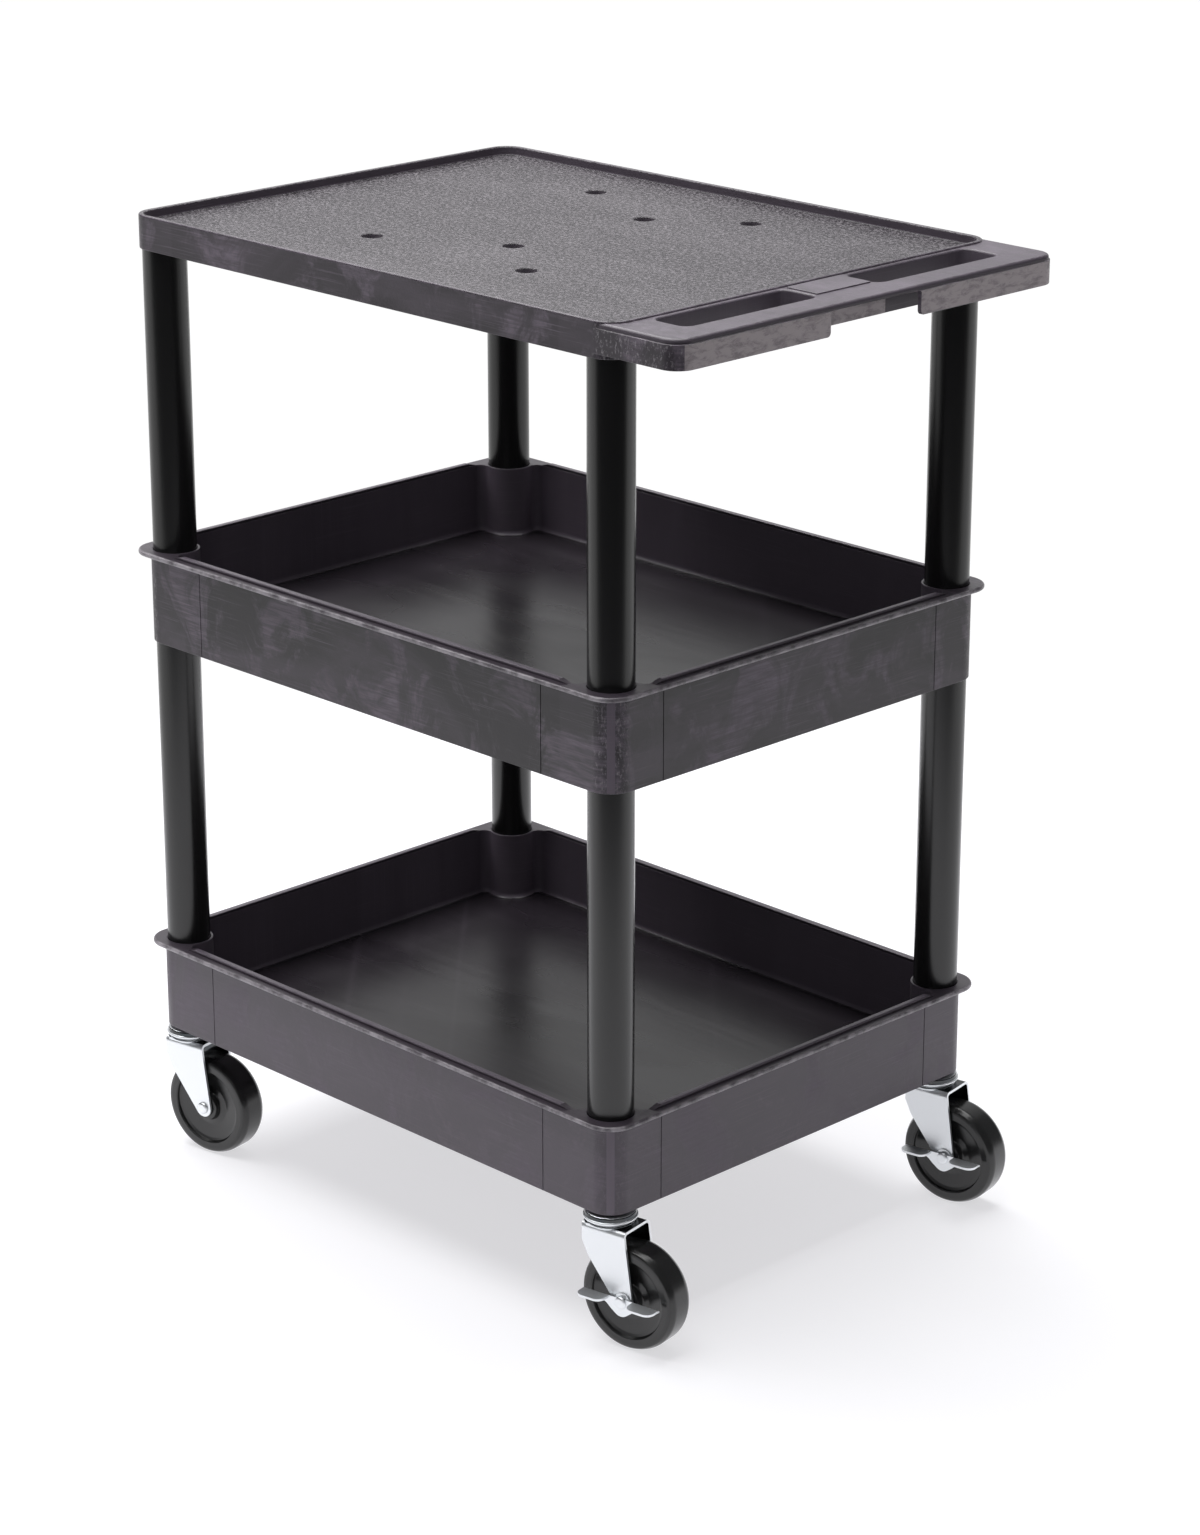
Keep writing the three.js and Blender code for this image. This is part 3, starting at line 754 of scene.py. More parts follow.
def gloss_material(name, base, roughness, ripple, scratch, specular):
    """Gloss black plastic with a faint ripple and short fine scratches."""
    material, tree, surface, place = new_material(name)
    flat = round_the_side(tree, place)
    lines = use(tree, hairlines_group(), {"Vector": flat, "Amount": scratch})
    smudge = ranged(tree, noise(tree, place, 26.0, 4.0, 0.6), 0.35, 0.7)
    uneven = noise(tree, stretched(tree, place, 0, (30, 30, 4)), 1.0, 2.0, 0.5)
    waves = maths(tree, "MULTIPLY", uneven, ripple)
    height = maths(tree, "MULTIPLY_ADD", lines["Mask"], 0.15, waves)
    bright = [min(1.0, 0.03 + c * 4) for c in base]
    wire(tree, surface, {
        "Base Color": mixed(tree, maths(tree, "MULTIPLY", lines["Mask"], 0.4), base, bright),
        "Roughness": ranged(tree, smudge, 0.0, 1.0, roughness, roughness + 0.06),
        "Specular IOR Level": specular,
        "Normal": bumped(tree, height, 0.12, 0.0004),
    })
    return material


def zinc_material(name, level):
    """Zinc plate, with faint rolling marks and a bluish cast in patches."""
    finish = bpy.context.scene.cart_finish
    material, tree, surface, place = new_material(name)
    rolled = noise(tree, stretched(tree, place, 12, (40, 900, 900)), 1.0, 3.0, 0.6)
    patch = ranged(tree, noise(tree, place, 60.0, 3.0, 0.6), 0.35, 0.70)
    bright = [c * level for c in finish.zinc]
    cast = [bright[0] * 0.86, bright[1] * 0.93, bright[2]]
    wire(tree, surface, {
        "Base Color": mixed(tree, patch, bright, cast),
        "Metallic": 1.0,
        "Roughness": ranged(tree, rolled, 0.3, 0.7, 0.11, 0.21),
        "Normal": bumped(tree, rolled, 0.05, 0.0003),
    })
    return material


def plain_plastic(name, base, roughness):
    """Small dark plastic pieces, faintly mottled."""
    material, tree, surface, place = new_material(name)
    mottle = noise(tree, place, 220.0, 3.0, 0.6)
    bright = [min(1.0, c * 1.6) for c in base]
    wire(tree, surface, {
        "Base Color": mixed(tree, mottle, base, bright),
        "Roughness": ranged(tree, mottle, 0.2, 0.8, roughness - 0.05, roughness + 0.08),
        "Normal": bumped(tree, mottle, 0.08, 0.0003),
    })
    return material


def finish_for(name, maker, *inputs):
    """The named finish, made on first use."""
    return bpy.data.materials.get(name) or maker(name, *inputs)


def zinc():
    return finish_for("zinc_plate", zinc_material, 1.0)


# ------------------------------------------------------------------ shelves


# Heights are over the shelf's own underside, and plan places are from the shelf's middle.
TUB_HEIGHT = 87
TUB_FLOOR = 20
FLANGE_RADIUS = 25
UNDER_FILLET = 3
SEAM_X, SEAM_Y = 222, 170

TOP_HEIGHT = 31
DECK = 22.5
HOLE_RADIUS = 9.5
DECK_HOLES = ((-108, 157), (88, 157), (8.5, 103), (8.5, -57), (-108, -117), (88, -117))
GRIP_END = 378
GRIP_TOP = 29.5
BAND_LOW = 24.7  # foot of the narrow step round the grip
SLOT_X, SLOT_Y = (309, 347), (36, 190)
SLOT_RADIUS = 9
SKIN_BOTTOM = 25  # ceiling of the grip's hollow
LINING_END = 350.5  # outer face of the wall that closes the slots inside the notch


def shelf_place(node):
    return Matrix.Translation((SHELF_X * MM, SHELF_Y * MM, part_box(node)[0].z))


def seams(top):
    """Thin upright cuts that the mould leaves near the corners."""
    low, half, depth = 0.6, 0.45, 0.7
    cuts = []
    for side in (-1, 1):
        for end in (-1, 1):
            x, y = end * SEAM_X, side * SEAM_Y
            cuts.append(block(x - half, x + half, side * HALF_Y - depth, side * HALF_Y + depth,
                              low, top))
            cuts.append(block(end * HALF_X - depth, end * HALF_X + depth, y - half, y + half,
                              low, top))
    return lumped(cuts)


def crosswise_ribs(places, low, high):
    half, inset = 1.75, 2
    return lumped([block(x - half, x + half, -HALF_Y + inset, HALF_Y - inset, low, high)
                   for x in places])


def lengthwise_ribs(places, low, high):
    half, inset = 1.75, 2
    return lumped([block(-HALF_X + inset, HALF_X - inset, y - half, y + half, low, high)
                   for y in places])


def leg_bore(radius, depth):
    """What a leg or a caster's sleeve goes into from below, with a chamfered mouth."""
    return stack(disc(0, 0, radius), [(0.5, -1), (0.5, 0), (0, 0.5), (0, depth)])


def ridges():
    """The four low bars over a tub's walls, which ramp down before they reach the legs."""
    sizes = bpy.context.scene.cart_shelves
    top = TUB_HEIGHT
    crest = top + sizes.ridge_height / MM
    in_x, in_y = (half - sizes.wall / MM for half in (HALF_X, HALF_Y))
    width = sizes.ridge_width / MM
    corner, ramp, clear = 2.9, 12, 26
    long, wide = LEG_X - clear, LEG_Y - clear
    steps = [(0, top - 1), (0, crest - 1.4)] + bend((0, crest - 1.4), (-1.6, crest), False)
    bars = []
    for side in (-1, 1):
        y0, y1 = sorted((side * in_y, side * (in_y + width)))
        x0, x1 = sorted((side * in_x, side * (in_x + width)))
        for bar, end, axis in ((rounded(-long, long, y0, y1, corner, 6), long, "Y"),
                               (rounded(x0, x1, -wide, wide, corner, 6), wide, "X")):
            path = smooth_path([
                (-end, top - 3, 0), (-end, top - 0.4, 0), (ramp - end, crest, 8),
                (end - ramp, crest, 8), (end, top - 0.4, 0), (end, top - 3, 0)], 5)
            tapered = along(path, -HALF_X - 20, HALF_X + 20, axis)
            bars.append(carved(stack(bar, steps), [("INTERSECT", tapered)]))
    return lumped(bars)


def tub(bottom_radius, bottom_depth):
    """A tub shelf: skirt, flange and ridges, hollowed above and below its floor."""
    sizes = bpy.context.scene.cart_shelves
    edge = sizes.edge / MM
    wall = sizes.wall / MM
    reach = sizes.flange_overhang / MM
    top = TUB_HEIGHT
    flange = top - sizes.flange_thickness / MM
    boss = sizes.boss_radius / MM
    fillet = sizes.floor_fillet / MM
    skirt = centred(HALF_X, HALF_Y, CORNER_RADIUS)
    shell = stack(skirt, bend((-edge, 0), (0, edge), True) + [(0, top - 2)])
    cove = stack(skirt, [(-1, flange - 3)] + bend((0, flange - 2.2), (2.2, flange + 0.05), False)
                 + [(2.2, top - 1.5)])
    rim = stack(centred(HALF_X + reach, HALF_Y + reach, FLANGE_RADIUS),
                bend((-1.9, flange), (0, flange + 1.9), True)
                + bend((0, top - 2), (-2, top), False))
    mouth = stack(pocket(wall, boss, 8),
                  bend((-fillet, TUB_FLOOR), (0, TUB_FLOOR + fillet), True)
                  + [(0, top - 0.3), (0.3, top), (0.3, top + 6)])
    under = stack(pocket(wall, boss, UNDER_FILLET),
                  [(0.3, -1), (0, 0.6)] + bend((0, 12), (-2.5, 15), False))
    socket = disc(0, 0, SOCKET_RADIUS)
    sockets = at_legs(lambda: stack(socket, [(0, top - 33.3), (0, top - 0.7)]
                                    + bend((0, top - 0.7), (0.7, top), False) + [(0.7, top + 2)]))
    bores = at_legs(lambda: leg_bore(bottom_radius, bottom_depth))
    return carved(shell, [
        ("UNION", cove), ("UNION", rim), ("UNION", ridges()), ("DIFFERENCE", mouth),
        ("DIFFERENCE", under), ("UNION", crosswise_ribs((-140, 0, 140), 4, 16)),
        ("UNION", lengthwise_ribs((-75, 75), 4.01, 16.01)), ("DIFFERENCE", sockets),
        ("DIFFERENCE", bores), ("DIFFERENCE", seams(flange - 0.5)),
    ])


def tub_face(local, normal):
    """Which finish a tub's face takes: 0 skirt, 1 flange, 2 floor, 3 wall, 4 ridge."""
    inner = abs(local.x) < HALF_X - 3.6 and abs(local.y) < HALF_Y - 3.6
    if inner and TUB_FLOOR - 2 < local.z < TUB_HEIGHT - 0.1:
        return 2 if normal.z > 0.8 else 3
    if local.z > TUB_HEIGHT + 1.4:
        return 4
    return 1 if local.z > TUB_HEIGHT - 4.8 else 0


class CART_OT_tub_shelves(bpy.types.Operator):
    """Build the middle and lower tub shelves"""

    bl_idname = "cart.tub_shelves"
    bl_label = "Tub Shelves"

    def execute(self, context):
        floor = finish_for("tub_floor_plastic", inside_material, 0.45, 0.0, 0.24)
        # The walls' lift is partly painted light: besides their scuffs it makes them paler for
        # light they lack.
        wall = finish_for("tub_wall_plastic", inside_material, 1.1, 0.50, 0.42)
        flange = finish_for("flange_plastic", rim_material, 0.0)
        ridge = finish_for("ridge_plastic", rim_material, 0.45)
        for node, wear, dark, bore, depth in (
                ("middle_tub", 0.9, 0.30, SOCKET_RADIUS, 16.3),
                ("lower_tub", 0.4, 1.4, SLEEVE_RADIUS + GAP, 39)):
            skirt = finish_for(f"{node}_skirt_plastic", skirt_material, wear, dark)
            piece(f"{node}_moulding", tub(bore, depth), shelf_place(node), "cart_frame",
                  [skirt, flange, floor, wall, ridge], [node], tub_face)
        return {"FINISHED"}


def top_body():
    """The top shelf without its handle: lip, deck, bosses and ribs."""
    sizes = bpy.context.scene.cart_shelves
    edge = sizes.edge / MM
    lip = sizes.lip_width / MM
    inside = -lip / 2 - 0.9
    skirt = centred(HALF_X, HALF_Y, CORNER_RADIUS)
    shell = stack(skirt, bend((-edge, 0), (0, edge), True)
                  + bend((0, TOP_HEIGHT - 1.6), (-1.6, TOP_HEIGHT), False))
    deck = stack(skirt, bend((-lip - 2, DECK), (-lip, DECK + 2), True)
                 + bend((-lip, TOP_HEIGHT - 1.4), (inside, TOP_HEIGHT), False)
                 + [(inside, TOP_HEIGHT + 2)])
    under = stack(pocket(sizes.wall / MM, sizes.boss_radius / MM, UNDER_FILLET),
                  [(0.3, -1), (0, 0.6)] + bend((0, DECK - 7), (-2.5, DECK - 4.5), False))
    return carved(shell, [
        ("DIFFERENCE", deck), ("DIFFERENCE", under),
        ("UNION", crosswise_ribs((-200, -45, 59, 190), 8, DECK - 3)),
        ("UNION", lengthwise_ribs((14,), 8.01, DECK - 2.99)),
        ("DIFFERENCE", at_legs(lambda: leg_bore(SOCKET_RADIUS, 19.3)))])


def handle():
    """The grip on the end of the top shelf: block, two finger slots, notch and centre panel."""
    sizes = bpy.context.scene.cart_shelves
    turn = sizes.handle_round / MM
    flare = sizes.slot_round / MM
    skin, top = SKIN_BOTTOM, GRIP_TOP
    low, step = 2, 1.0
    outer = rounded(LEG_X - 40, GRIP_END, -HALF_Y, HALF_Y, 18)
    whole = stack(outer, bend((-0.8, 4), (0, 4.8), True)
                  + [(0, BAND_LOW), (-step, BAND_LOW + 0.5)]
                  + bend((-step, top - turn), (-step - turn, top), False))
    body = stack(centred(HALF_X, HALF_Y, CORNER_RADIUS), [(-0.4, -2), (-0.4, 40)])
    front = block(-400, LEG_X, -300, 300, -5, 50)
    slots = []
    walls = []
    for side in (-1, 1):
        y0, y1 = sorted((side * SLOT_Y[0], side * SLOT_Y[1]))
        shape = rounded(*SLOT_X, y0, y1, SLOT_RADIUS, 8)
        slots.append(stack(shape, [(0, -2), (0, top - flare)]
                           + bend((0, top - flare), (flare, top), False) + [(flare, 32)]))
        walls.append(stack(shape, bend((2.9, low), (3.5, low + 0.6), True) + [(3.5, skin + 1)]))
    span = SLOT_Y[1] - SLOT_RADIUS
    wall_x = SLOT_X[1] - 1
    lining = block(wall_x, LINING_END, -span, span, low, skin + 1)
    backing = block(wall_x + 0.1, LINING_END + 0.3, -41, 41, low, skin + 0.9)
    hollow = carved(stack(rounded(HALF_X - 0.4, GRIP_END - 4, -HALF_Y + 4, HALF_Y - 4, 14),
                          [(0, -1), (0, skin - 2)] + bend((0, skin - 2), (-2, skin), False)),
                    [("DIFFERENCE", lumped(walls)), ("DIFFERENCE", lining),
                     ("DIFFERENCE", backing)])
    corner = arc(-59, 8, 4, -90, 0, 6)
    other = [(-y, z) for y, z in reversed(corner)]
    gap = ([(-66, -6), (-66, 3.0), (-59.6, 3.9)] + corner + [(-55, skin - 1.5), (-53.5, skin),
           (53.5, skin), (55, skin - 1.5)] + other + [(59.6, 3.9), (66, 3.0), (66, -6)])
    notch = along(gap, LINING_END + 1, GRIP_END + 4, "X")
    panel = stack(rounded(307.5, 342.5, -32.5, 32.5, 1.6, 4),
                  [(0, 28), (0, 29.9)] + bend((0, 29.9), (-0.6, 30.5), False))
    return carved(whole, [("DIFFERENCE", front), ("DIFFERENCE", body), ("DIFFERENCE", hollow),
                          ("DIFFERENCE", notch), ("UNION", panel), ("DIFFERENCE", lumped(slots))])


def top_face(local, normal):
    """Which finish a top shelf's face takes: 0 sides, 1 deck, 2 grip and lip, 3 finger slots, 4
    front of the handle, 5 painted shade on the band round the grip, the inside of the lip and the
    wall in the notch."""
    inner = abs(local.x) < HALF_X - 4.5 and abs(local.y) < HALF_Y - 4.5
    # Upright faces inside the lip and round the deck's holes take the painted shade.
    if inner and local.z > 17:
        return 1 if normal.z > 0.5 else 5
    in_slot = (SLOT_X[0] - 0.5 < local.x < SLOT_X[1] + 0.5
               and SLOT_Y[0] - 0.5 < abs(local.y) < SLOT_Y[1] + 0.5)
    if in_slot and local.z < 28:
        return 3
    if local.x > HALF_X + 1 and local.z < 29.2 and normal.z < 0.85:
        # The band round the grip takes a painted dark reflection, and the wall closing the slots
        # in the notch takes the grip's painted shadow.
        lining = local.x < LINING_END + 0.1 and abs(local.y) < SLOT_Y[1]
        if local.z > 24.9 or lining:
            return 5
        return 4 if normal.x > 0.9 else 0
    return 2 if local.z > 26 and normal.z > 0.1 else 0


class CART_OT_top_shelf(bpy.types.Operator):
    """Build the top shelf with its pull handle"""

    bl_idname = "cart.top_shelf"
    bl_label = "Top Shelf"

    def execute(self, context):
        side = finish_for("top_skirt_plastic", skirt_material, 1.0, 0.65)
        front = finish_for("handle_front_plastic", front_material)
        # painted shade: a darker copy of the tub-inside finish
        band = finish_for("dark_plastic", inside_material, 1.2, 0.08, 0.40)
        deck = finish_for("deck_plastic", deck_material)
        grip = finish_for("grip_plastic", grip_material)
        slot = finish_for("slot_plastic", inside_material, 1.0, 0.22, 0.45)
        bore = [(0, -2), (0, DECK - 0.6), (0.6, DECK), (0.6, TOP_HEIGHT + 2)]
        holes = lumped([stack(disc(x, y, HOLE_RADIUS, 40), bore) for x, y in DECK_HOLES])
        whole = carved(top_body(), [("UNION", handle()), ("DIFFERENCE", holes)])
        piece("top_shelf_moulding", whole, shelf_place("top_shelf"), "cart_frame",
              [side, deck, grip, slot, front, band], ["top_shelf"], top_face)
        return {"FINISHED"}


# ------------------------------------------------------------------ legs


class CART_OT_legs(bpy.types.Operator):
    """Build the eight leg tubes"""

    bl_idname = "cart.legs"
    bl_label = "Leg Tubes"

    def execute(self, context):
        wall = context.scene.cart_metal.leg_wall / MM
        base = list(context.scene.cart_finish.leg)
        gloss = finish_for("leg_plastic", gloss_material, base, 0.13, 0.6, 0.5, 0.5)
        for corner in CORNERS:
            x, y = corner_axis(corner)
            for node in (f"upper_leg_{corner}", f"lower_leg_{corner}"):
                low, high = box_mm(node)
                inner, outer = LEG_RADIUS - wall, LEG_RADIUS
                profile = smooth_path([(inner, low.z, 0.4), (outer, low.z, 0.6),
                                       (outer, high.z, 0.6), (inner, high.z, 0.4)], 3)
                tube = turned(profile)
                bars = [e for e in tube.edges
                        if abs(e.verts[0].co.z - e.verts[1].co.z) > 100]
                bmesh.ops.subdivide_edges(tube, edges=bars, cuts=3)
                piece(f"{node}_tube", tube, Matrix.Translation((x * MM, y * MM, 0)),
                      "cart_frame", [gloss], [node])
        return {"FINISHED"}


# ------------------------------------------------------------------ casters


# Distances along the axle are from the wheel's middle.
FORK_INSIDE = 17
FORK_NOSE, FORK_TAIL = -17.5, 26.5  # ends of the fork's plate, from the swivel axis
CHEEK_END_RADIUS = 9
BOLT_HOLE = 4.3
BUSH_RADIUS = 8
SLEEVE_RADIUS = 10
HEAD_SEAT, BRAKED_HEAD_SEAT = 19.6, 22.8
LEVER_SEAT = 21.1
BALLS, BALL_CIRCLE = 20, 16
RACE_RIM, RACE_HEIGHT = 24, 6.6


def caster_place(corner):
    x, y = corner_axis(corner)
    return Matrix.Translation((x * MM, y * MM, 0)) @ Matrix.Rotation(CASTER_YAW, 4, "Z")


def axle_place(corner):
    """Where a piece turned about Z goes on the axle: its +Z faces the brake's side."""
    laid = Matrix.Rotation(math.pi / 2, 4, "X")
    return caster_place(corner) @ Matrix.Translation((TRAIL * MM, 0, AXLE_Z * MM)) @ laid


def fork():
    """A bent sheet: an upside-down U cut to the outline of its cheeks, with a pressed crown."""
    metal = bpy.context.scene.cart_metal
    sheet = metal.fork_sheet / MM
    shoulder = metal.fork_bend / MM
    inner, top = FORK_INSIDE, PLATE_BOTTOM
    outer, upper = inner + sheet, top + sheet
    section = smooth_path([
        (-outer, 30, 0), (-outer, upper, shoulder), (outer, upper, shoulder), (outer, 30, 0),
        (inner, 30, 0), (inner, top, shoulder - sheet), (-inner, top, shoulder - sheet),
        (-inner, 30, 0)], 6)
    bent = along(section, -40, 60, "X")
    end = [(x, z, 0) for x, z in arc(TRAIL, AXLE_Z, CHEEK_END_RADIUS, 216, 363.6, 14)]
    cheek = smooth_path([(FORK_TAIL, upper + 4, 0), (FORK_NOSE, upper + 4, 0),
                         (FORK_NOSE, upper - 14, 12), (FORK_NOSE + 7.5, upper - 30, 22), *end], 7)
    plan = stack(rounded(FORK_NOSE, 60, -outer - 1, outer + 1, 3, 4), [(0, 0), (0, 140)])
    nose = stack(disc(0, 0, 23), bend((-0.6, top), (0, top + 0.6), True)
                 + bend((0, upper - 0.6), (-0.6, upper), False))
    tongue = carved(nose, [("INTERSECT", block(-40, 4, -outer, outer, 80, 140))])
    crown = turned([(0, upper - 1.2), (21.2, upper - 1.2)]
                   + bend((21.2, upper - 0.2), (19.4, upper + 0.5), False)
                   + bend((19.4, upper + 0.6), (17.6, CROWN_TOP), False) + [(0, CROWN_TOP)])
    axle = moved(stack(disc(0, 0, BOLT_HOLE, 32), [(0, -40), (0, 40)]),
                 Matrix.Translation((TRAIL, 0, AXLE_Z)) @ Matrix.Rotation(math.pi / 2, 4, "X"))
    rivet = stack(disc(0, 0, 4.8, 32), [(0, top - 20), (0, top + 20)])
    return carved(bent, [("INTERSECT", along(cheek, -40, 40, "Y")), ("INTERSECT", plan),
                         ("UNION", tongue), ("UNION", crown), ("DIFFERENCE", axle),
                         ("DIFFERENCE", rivet)])


def fork_face(local, normal):
    """Which finish a fork's face takes: 0 bright zinc, 1 painted shade on the inner faces and
    painted dark reflection on the top.
    """
    inner = abs(local.y) < FORK_INSIDE + 0.4 and (abs(normal.y) > 0.9 or normal.z < -0.9)
    return 1 if inner or (normal.z > 0.95 and local.z > PLATE_BOTTOM) else 0


def stem():
    """Stem, pressed upper race with a rolled rim, and the rivet that holds the fork."""
    top, bottom = RACE_TOP, RACE_TOP - RACE_HEIGHT
    rivet = PLATE_BOTTOM - GAP
    return turned(
        [(0, STEM_LOW), (5, STEM_LOW + 0.1)] + bend((5, STEM_LOW + 0.1), (7.5, rivet), True, 4)
        + [(4.5, rivet), (4.5, bottom + 2.4), (21.6, bottom + 2.4), (22.2, bottom)]
        + bend((RACE_RIM - 0.9, bottom), (RACE_RIM, bottom + 0.9), True, 3)
        + bend((RACE_RIM, bottom + 1.5), (RACE_RIM - 1.2, bottom + 2.6), False, 4)
        + [(22.5, top - 1.6)] + bend((22.5, top - 1.6), (20.9, top), False, 4)
        + [(5.5, top), (5.5, STEM_TOP - 2)] + bend((5.5, STEM_TOP - 2), (3.5, STEM_TOP), False, 4)
        + [(0, STEM_TOP)])


def race_face(local, normal):
    """Which finish a stem's face takes: 0 bright zinc, 1 painted dark reflection on the band over
    the rolled rim.
    """
    upright = abs(normal.z) < 0.6 and local.xy.length > 20
    return 1 if upright and local.z > RACE_TOP - 4.2 else 0


def cage():
    """Balls of the swivel bearing in a pressed ring."""
    z = (CAGE_LOW + CAGE_TOP) / 2
    ball_radius = (CAGE_TOP - CAGE_LOW) / 2
    ring = turned([(12.5, z - 0.5), (19.3, z - 0.5), (19.3, z + 0.5), (12.5, z + 0.5)], 48)
    balls = []
    for x, y in disc(0, 0, BALL_CIRCLE, BALLS)(0):
        ball = bmesh.new()
        bmesh.ops.create_icosphere(ball, subdivisions=2, radius=ball_radius)
        balls.append(moved(ball, Matrix.Translation((x, y, z))))
    return carved(ring, [("UNION", lumped(balls))])


def wheel():
    """Moulded wheel: crowned tread, a flat ring down each side, recessed disc and hub."""
    tread = WHEEL_RADIUS - 0.02
    half = [(0, tread, 0), (9.5, tread, 7), (14.4, tread - 2.6, 2.6), (15, tread - 5.5, 1.2),
            (15, 37.2, 0.5), (14.2, 36.4, 0.4), (12.0, 35.7, 0.8), (11.2, 33, 3), (9.3, 20, 5),
            (10.4, 14.4, 1.6), (16, 12.8, 1.0), (16, 8.3, 0.4)]
    side = [(r, v, round_by) for v, r, round_by in half]
    other = [(r, -v, round_by) for r, v, round_by in reversed(side[1:])]
    return turned(smooth_path(side + other, 4), 96)


def bolt(head):
    """Round-headed axle bolt; head is the height of its seat."""
    tail = -25.8
    return turned([(0, tail), (3.4, tail), (4, tail + 0.7), (4, head), (5.6, head)]
                  + bend((5.6, head + 0.5), (3.0, head + 2.4), False, 5) + [(0, head + 2.4)], 40)


def nut():
    """Hexagon lock nut with chamfered corners."""
    top = -HEAD_SEAT
    flats = disc(0, 0, 6.4, 6)
    whole = stack(flats, [(0, top - 4.5), (0, top)])
    chamfer = turned([(0, top - 4.6), (5.2, top - 4.6), (6.5, top - 3.6), (6.5, top - 0.9),
                      (5.4, top + 0.1), (0, top + 0.1)], 40)
    bore = stack(disc(0, 0, BOLT_HOLE, 32), [(0, top - 6), (0, top + 1)])
    return carved(whole, [("INTERSECT", chamfer), ("DIFFERENCE", bore)])


def tube_of(inner, outer, z0, z1, edge=0.3):
    return turned(smooth_path([(inner, z0, edge), (outer, z0, edge), (outer, z1, edge),
                               (inner, z1, edge)], 2), 48)


class CART_OT_casters(bpy.types.Operator):
    """Build the stems, swivel bearings, forks, wheels and axles"""

    bl_idname = "cart.casters"
    bl_label = "Casters"

    def execute(self, context):
        finish = context.scene.cart_finish
        tyre = finish_for("wheel_plastic", gloss_material, list(finish.wheel), 0.24, 0.3, 0.35,
                          0.30)
        nylon = finish_for("bush_plastic", plain_plastic, list(finish.bush), 0.45)
        # painted shade: zinc darkened to 7 %, for the painted dark reflection on the race's rim
        # and the fork's top and the painted shade on the fork's inner faces
        shaded_zinc = finish_for("smoky_zinc", zinc_material, 0.07)
        for corner in CORNERS:
            upright, axle = caster_place(corner), axle_place(corner)
            swivel = f"swivel_{corner}"
            seat = BRAKED_HEAD_SEAT if corner in BRAKED else HEAD_SEAT
            piece(f"stem_socket_{corner}", tube_of(5.8, SLEEVE_RADIUS, SLEEVE_LOW, SLEEVE_TOP),
                  upright, "cart_frame", [nylon], [f"stem_sleeve_{corner}"])
            piece(f"stem_race_{corner}", stem(), upright, "cart_frame",
                  [zinc(), shaded_zinc], [f"caster_stem_{corner}"], race_face)
            piece(f"ball_cage_{corner}", cage(), upright, swivel, [zinc()],
                  [f"bearing_ring_{corner}"])
            piece(f"bent_fork_{corner}", fork(), upright, swivel,
                  [zinc(), shaded_zinc], [f"caster_fork_{corner}"], fork_face, soften=0.35,
                  bevel_finish=0)
            piece(f"moulded_wheel_{corner}", wheel(), axle, f"wheel_{corner}",
                  [tyre], [f"wheel_{corner}"])
            half = FORK_INSIDE - GAP
            piece(f"hub_bush_{corner}", tube_of(BOLT_HOLE, BUSH_RADIUS, -half, half), axle,
                  swivel, [nylon], [f"wheel_bush_{corner}"])
            piece(f"round_bolt_{corner}", bolt(seat), axle, swivel, [zinc()],
                  [f"axle_bolt_{corner}"])
            piece(f"lock_nut_{corner}", nut(), axle, swivel, [zinc()],
                  [f"axle_nut_{corner}"], sharp=25)
        return {"FINISHED"}


def brake_lever():
    """The rocker: a bent sheet with a web on the axle and an oval foot pad at each end, drawn with
    X along the wheel, Y up and Z outwards."""
    sheet = bpy.context.scene.cart_metal.brake_sheet / MM
    rise, half = 4, 39.5
    section = smooth_path([(-14, 0, 0), (-14, sheet, 0), (rise - sheet, sheet, 0.9),
                           (rise - sheet, 17, 0), (rise, 17, 0), (rise, 0, 2.6)], 5)
    strip = along(section, -45, 45, "X")
    front = smooth_path([
        (-half, 5, 0), (-half, 1.2, 1.5), (-24, 1.0, 6), (-15, -3.5, 5), (-10.5, -7.5, 6),
        (0, -15.2, 9), (10.5, -7.5, 6), (15, -3.5, 5), (24, 1.0, 6), (half, 1.2, 1.5),
        (half, 5, 0)], 5)
    web_shape = stack(lambda grow: front, [(0, -5), (0, 30)])
    pads = []
    for side in (-1, 1):
        x0, x1 = sorted((side * 12.2, side * (half - 0.5)))
        outline = smooth_path([(x0, -5, 0), (x1, -5, 0), (x1, 15.9, 7.6), (x0, 15.9, 7.6)], 7)
        pads.append(along(outline, -30, 30, "Y"))
    middle = block(-20, 20, -30, 30, -5, sheet + 0.001)
    plan = carved(lumped(pads), [("UNION", middle)])
    bore = stack(disc(0, 0, BOLT_HOLE, 32), [(0, -5), (0, 8)])
    return carved(strip, [("INTERSECT", web_shape), ("INTERSECT", plan), ("DIFFERENCE", bore)])


class CART_OT_brakes(bpy.types.Operator):
    """Build the brake cams and rocker levers of the rear casters"""

    bl_idname = "cart.brakes"
    bl_label = "Brakes"

    def execute(self, context):
        for corner in BRAKED:
            axle = axle_place(corner)
            cam = tube_of(BOLT_HOLE, BUSH_RADIUS, HEAD_SEAT, LEVER_SEAT - GAP)
            piece(f"cam_washer_{corner}", cam, axle, f"swivel_{corner}", [zinc()],
                  [f"brake_cam_{corner}"])
            lift = Matrix.Translation((0, 0, LEVER_SEAT * MM))
            piece(f"rocker_pedal_{corner}", brake_lever(), axle @ lift, f"brake_{corner}",
                  [zinc()], [f"brake_lever_{corner}"], soften=0.5)
        return {"FINISHED"}


# ------------------------------------------------------------------ stage


WHITE = 1.02


